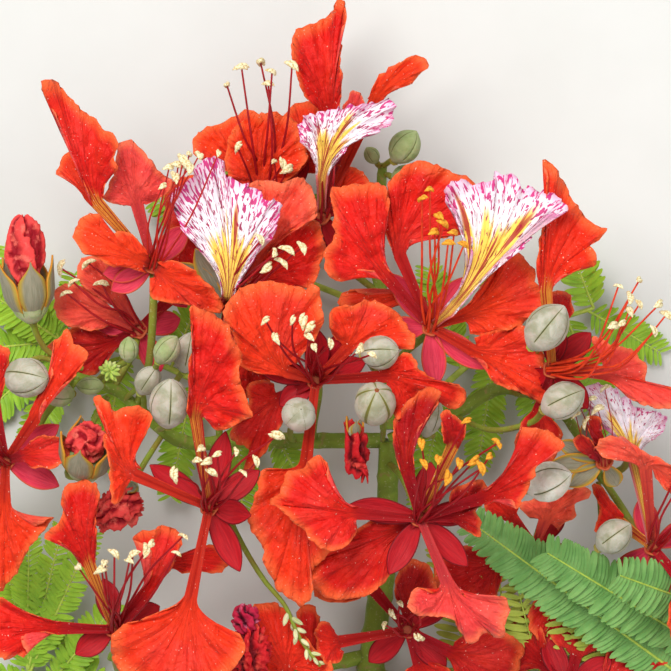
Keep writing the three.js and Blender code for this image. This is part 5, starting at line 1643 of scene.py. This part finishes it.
leafletLook = {
    "length": 9.6, "width": 2.5, "thickness": 0.16, "fold": 0.14, "droop": 0.5,
    "outline": [(0.0, 0.16), (0.08, 0.62), (0.3, 0.96), (0.62, 1.0), (0.88, 0.72), (1.0, 0.22)],
}


# One leaflet: an oblong with a round end, folded a little along its middle, closed all round
def makeLeaflet():
    sheaf = Sheaf()
    look = leafletLook
    width = look["width"]
    top = np.array([
        [[a * look["length"], b * width / 2 * s, look["fold"] * width * abs(b) * s - look["droop"] * a * a]
         for b in (-1, 0, 1)] for a, s in look["outline"]
    ])
    under = top - up * look["thickness"]
    ring = np.concatenate([top, under[:, ::-1]], axis=1)
    sheaf.grid(ring, 0.5, 0.5, closed=True, flip=True)
    for row, flip in ((ring[0], False), (ring[-1], True)):
        sheaf.grid(np.stack([row[:3], row[:2:-1]]), 0.5, 0.5, flip=flip)
    return sheaf.build("leafletShape", "leafBright", place=0, shadeSmooth=False)


def makeLeaves():
    leaflet = makeLeaflet()
    for seed, (name, leaf) in enumerate(leaves.items()):
        leaf = {**leafLook, **leaf}
        rib = wayThrough(leaf["rib"], leaf["ribSteps"])
        ribWays = [(rib, np.linspace(*leaf["ribGirth"], len(rib)) * mm)]
        tints = {}
        for start, end, size, *tint in leaf["sprays"]:
            start, end = np.array(start, float), np.array(end, float)
            length = np.linalg.norm(end - start)
            middle = (start + end) / 2 + up * leaf["sprayArch"] * length
            way = wayThrough([start, middle, end], max(int(length / leaf["sprayStep"]), 4))
            ribWays.append((way, np.linspace(*leaf["sprayGirth"], len(way)) * mm))
            t = np.linspace(0, 1, len(way))
            sizes = np.clip(np.sin(math.pi * (0.16 + 0.70 * t)) ** 0.6, 0.2, 1) * size / leaf["fullLeaflet"]
            tints.setdefault(tint[0] if tint else leaf["tint"], []).append((way[1:], sizes[1:]))
        hand(grow(name + "_ribs", ribWays, limbTree, "rachis", sides=leaf["sides"]), "leaf", name)
        for tint, ways in tints.items():
            stance = {key: leaf[key] for key in ("lean", "lift", "twist")}
            sheet = grow(name + "_" + tint, ways, leafletTree, tint, pitch=leaf["pitch"][tint] * mm,
                         leaflet=leaflet, seed=seed + 3, **stance)
            hand(sheet, "leaf", name)
    bpy.data.objects.remove(leaflet)
    print("leaves made:", len(leaves))


makeLeaves()

# A pale floor, soft studio light, and a camera that looks straight down
stageLook = {
    "viewWidth": 239.64,  # millimetres across the picture, at the height below
    "viewHeight": 70.0,
    "cameraDistance": 3.0,  # metres
    "sensor": 36,
    "floorSize": 3.0,
    "skyStrength": 0.48,
    "lamps": {
        "keyLight": {"power": 25.0, "size": 0.8, "at": (-0.45, 0.64, 1.4)},
        "fillLight": {"power": 10.0, "size": 1.4, "at": (0.7, -0.5, 1.35)},
    },
}


def makeStage():
    look = stageLook
    half = look["floorSize"] / 2
    corners = [(x * half, y * half, 0) for x, y in ((-1, -1), (1, -1), (1, 1), (-1, 1))]
    mesh = bpy.data.meshes.new("floor")
    mesh.from_pydata(corners, [], [(0, 1, 2, 3)])
    paper = Finish("palePaper", 0.9, 0.1, flesh=0.0)
    paper.base = paper.mix(paper.noise(30.0), "CFCEC8", "D8D7D2")
    mesh.materials.append(paper.done())
    addObject("floor", mesh)
    for name, lamp in look["lamps"].items():
        light = bpy.data.lights.new(name, "AREA")
        light.energy = lamp["power"]
        light.size = lamp["size"]
        shade = addObject(name, light)
        shade.location = lamp["at"]
        shade.rotation_euler = (Vector((0, 0, 0.05)) - Vector(lamp["at"])).to_track_quat("-Z", "Y").to_euler()
    world = bpy.data.worlds.new("studioSky")
    world.use_nodes = True
    sky = world.node_tree.nodes["Background"].inputs
    sky["Color"].default_value = colour("F2F5FA")
    sky["Strength"].default_value = look["skyStrength"]
    bpy.context.scene.world = world
    lens = bpy.data.cameras.new("camera")
    lens.sensor_width = look["sensor"]
    lens.lens = look["sensor"] * look["cameraDistance"] / (look["viewWidth"] * mm)
    lens.clip_end = 10
    camera = addObject("camera", lens)
    aimed = (np.array([0, 0, look["viewHeight"]]) + shift) * mm
    camera.location = (aimed[0], aimed[1], aimed[2] + look["cameraDistance"])
    bpy.context.scene.camera = camera
    bpy.context.scene.view_settings.view_transform = "Standard"
    print("stage set")


makeStage()
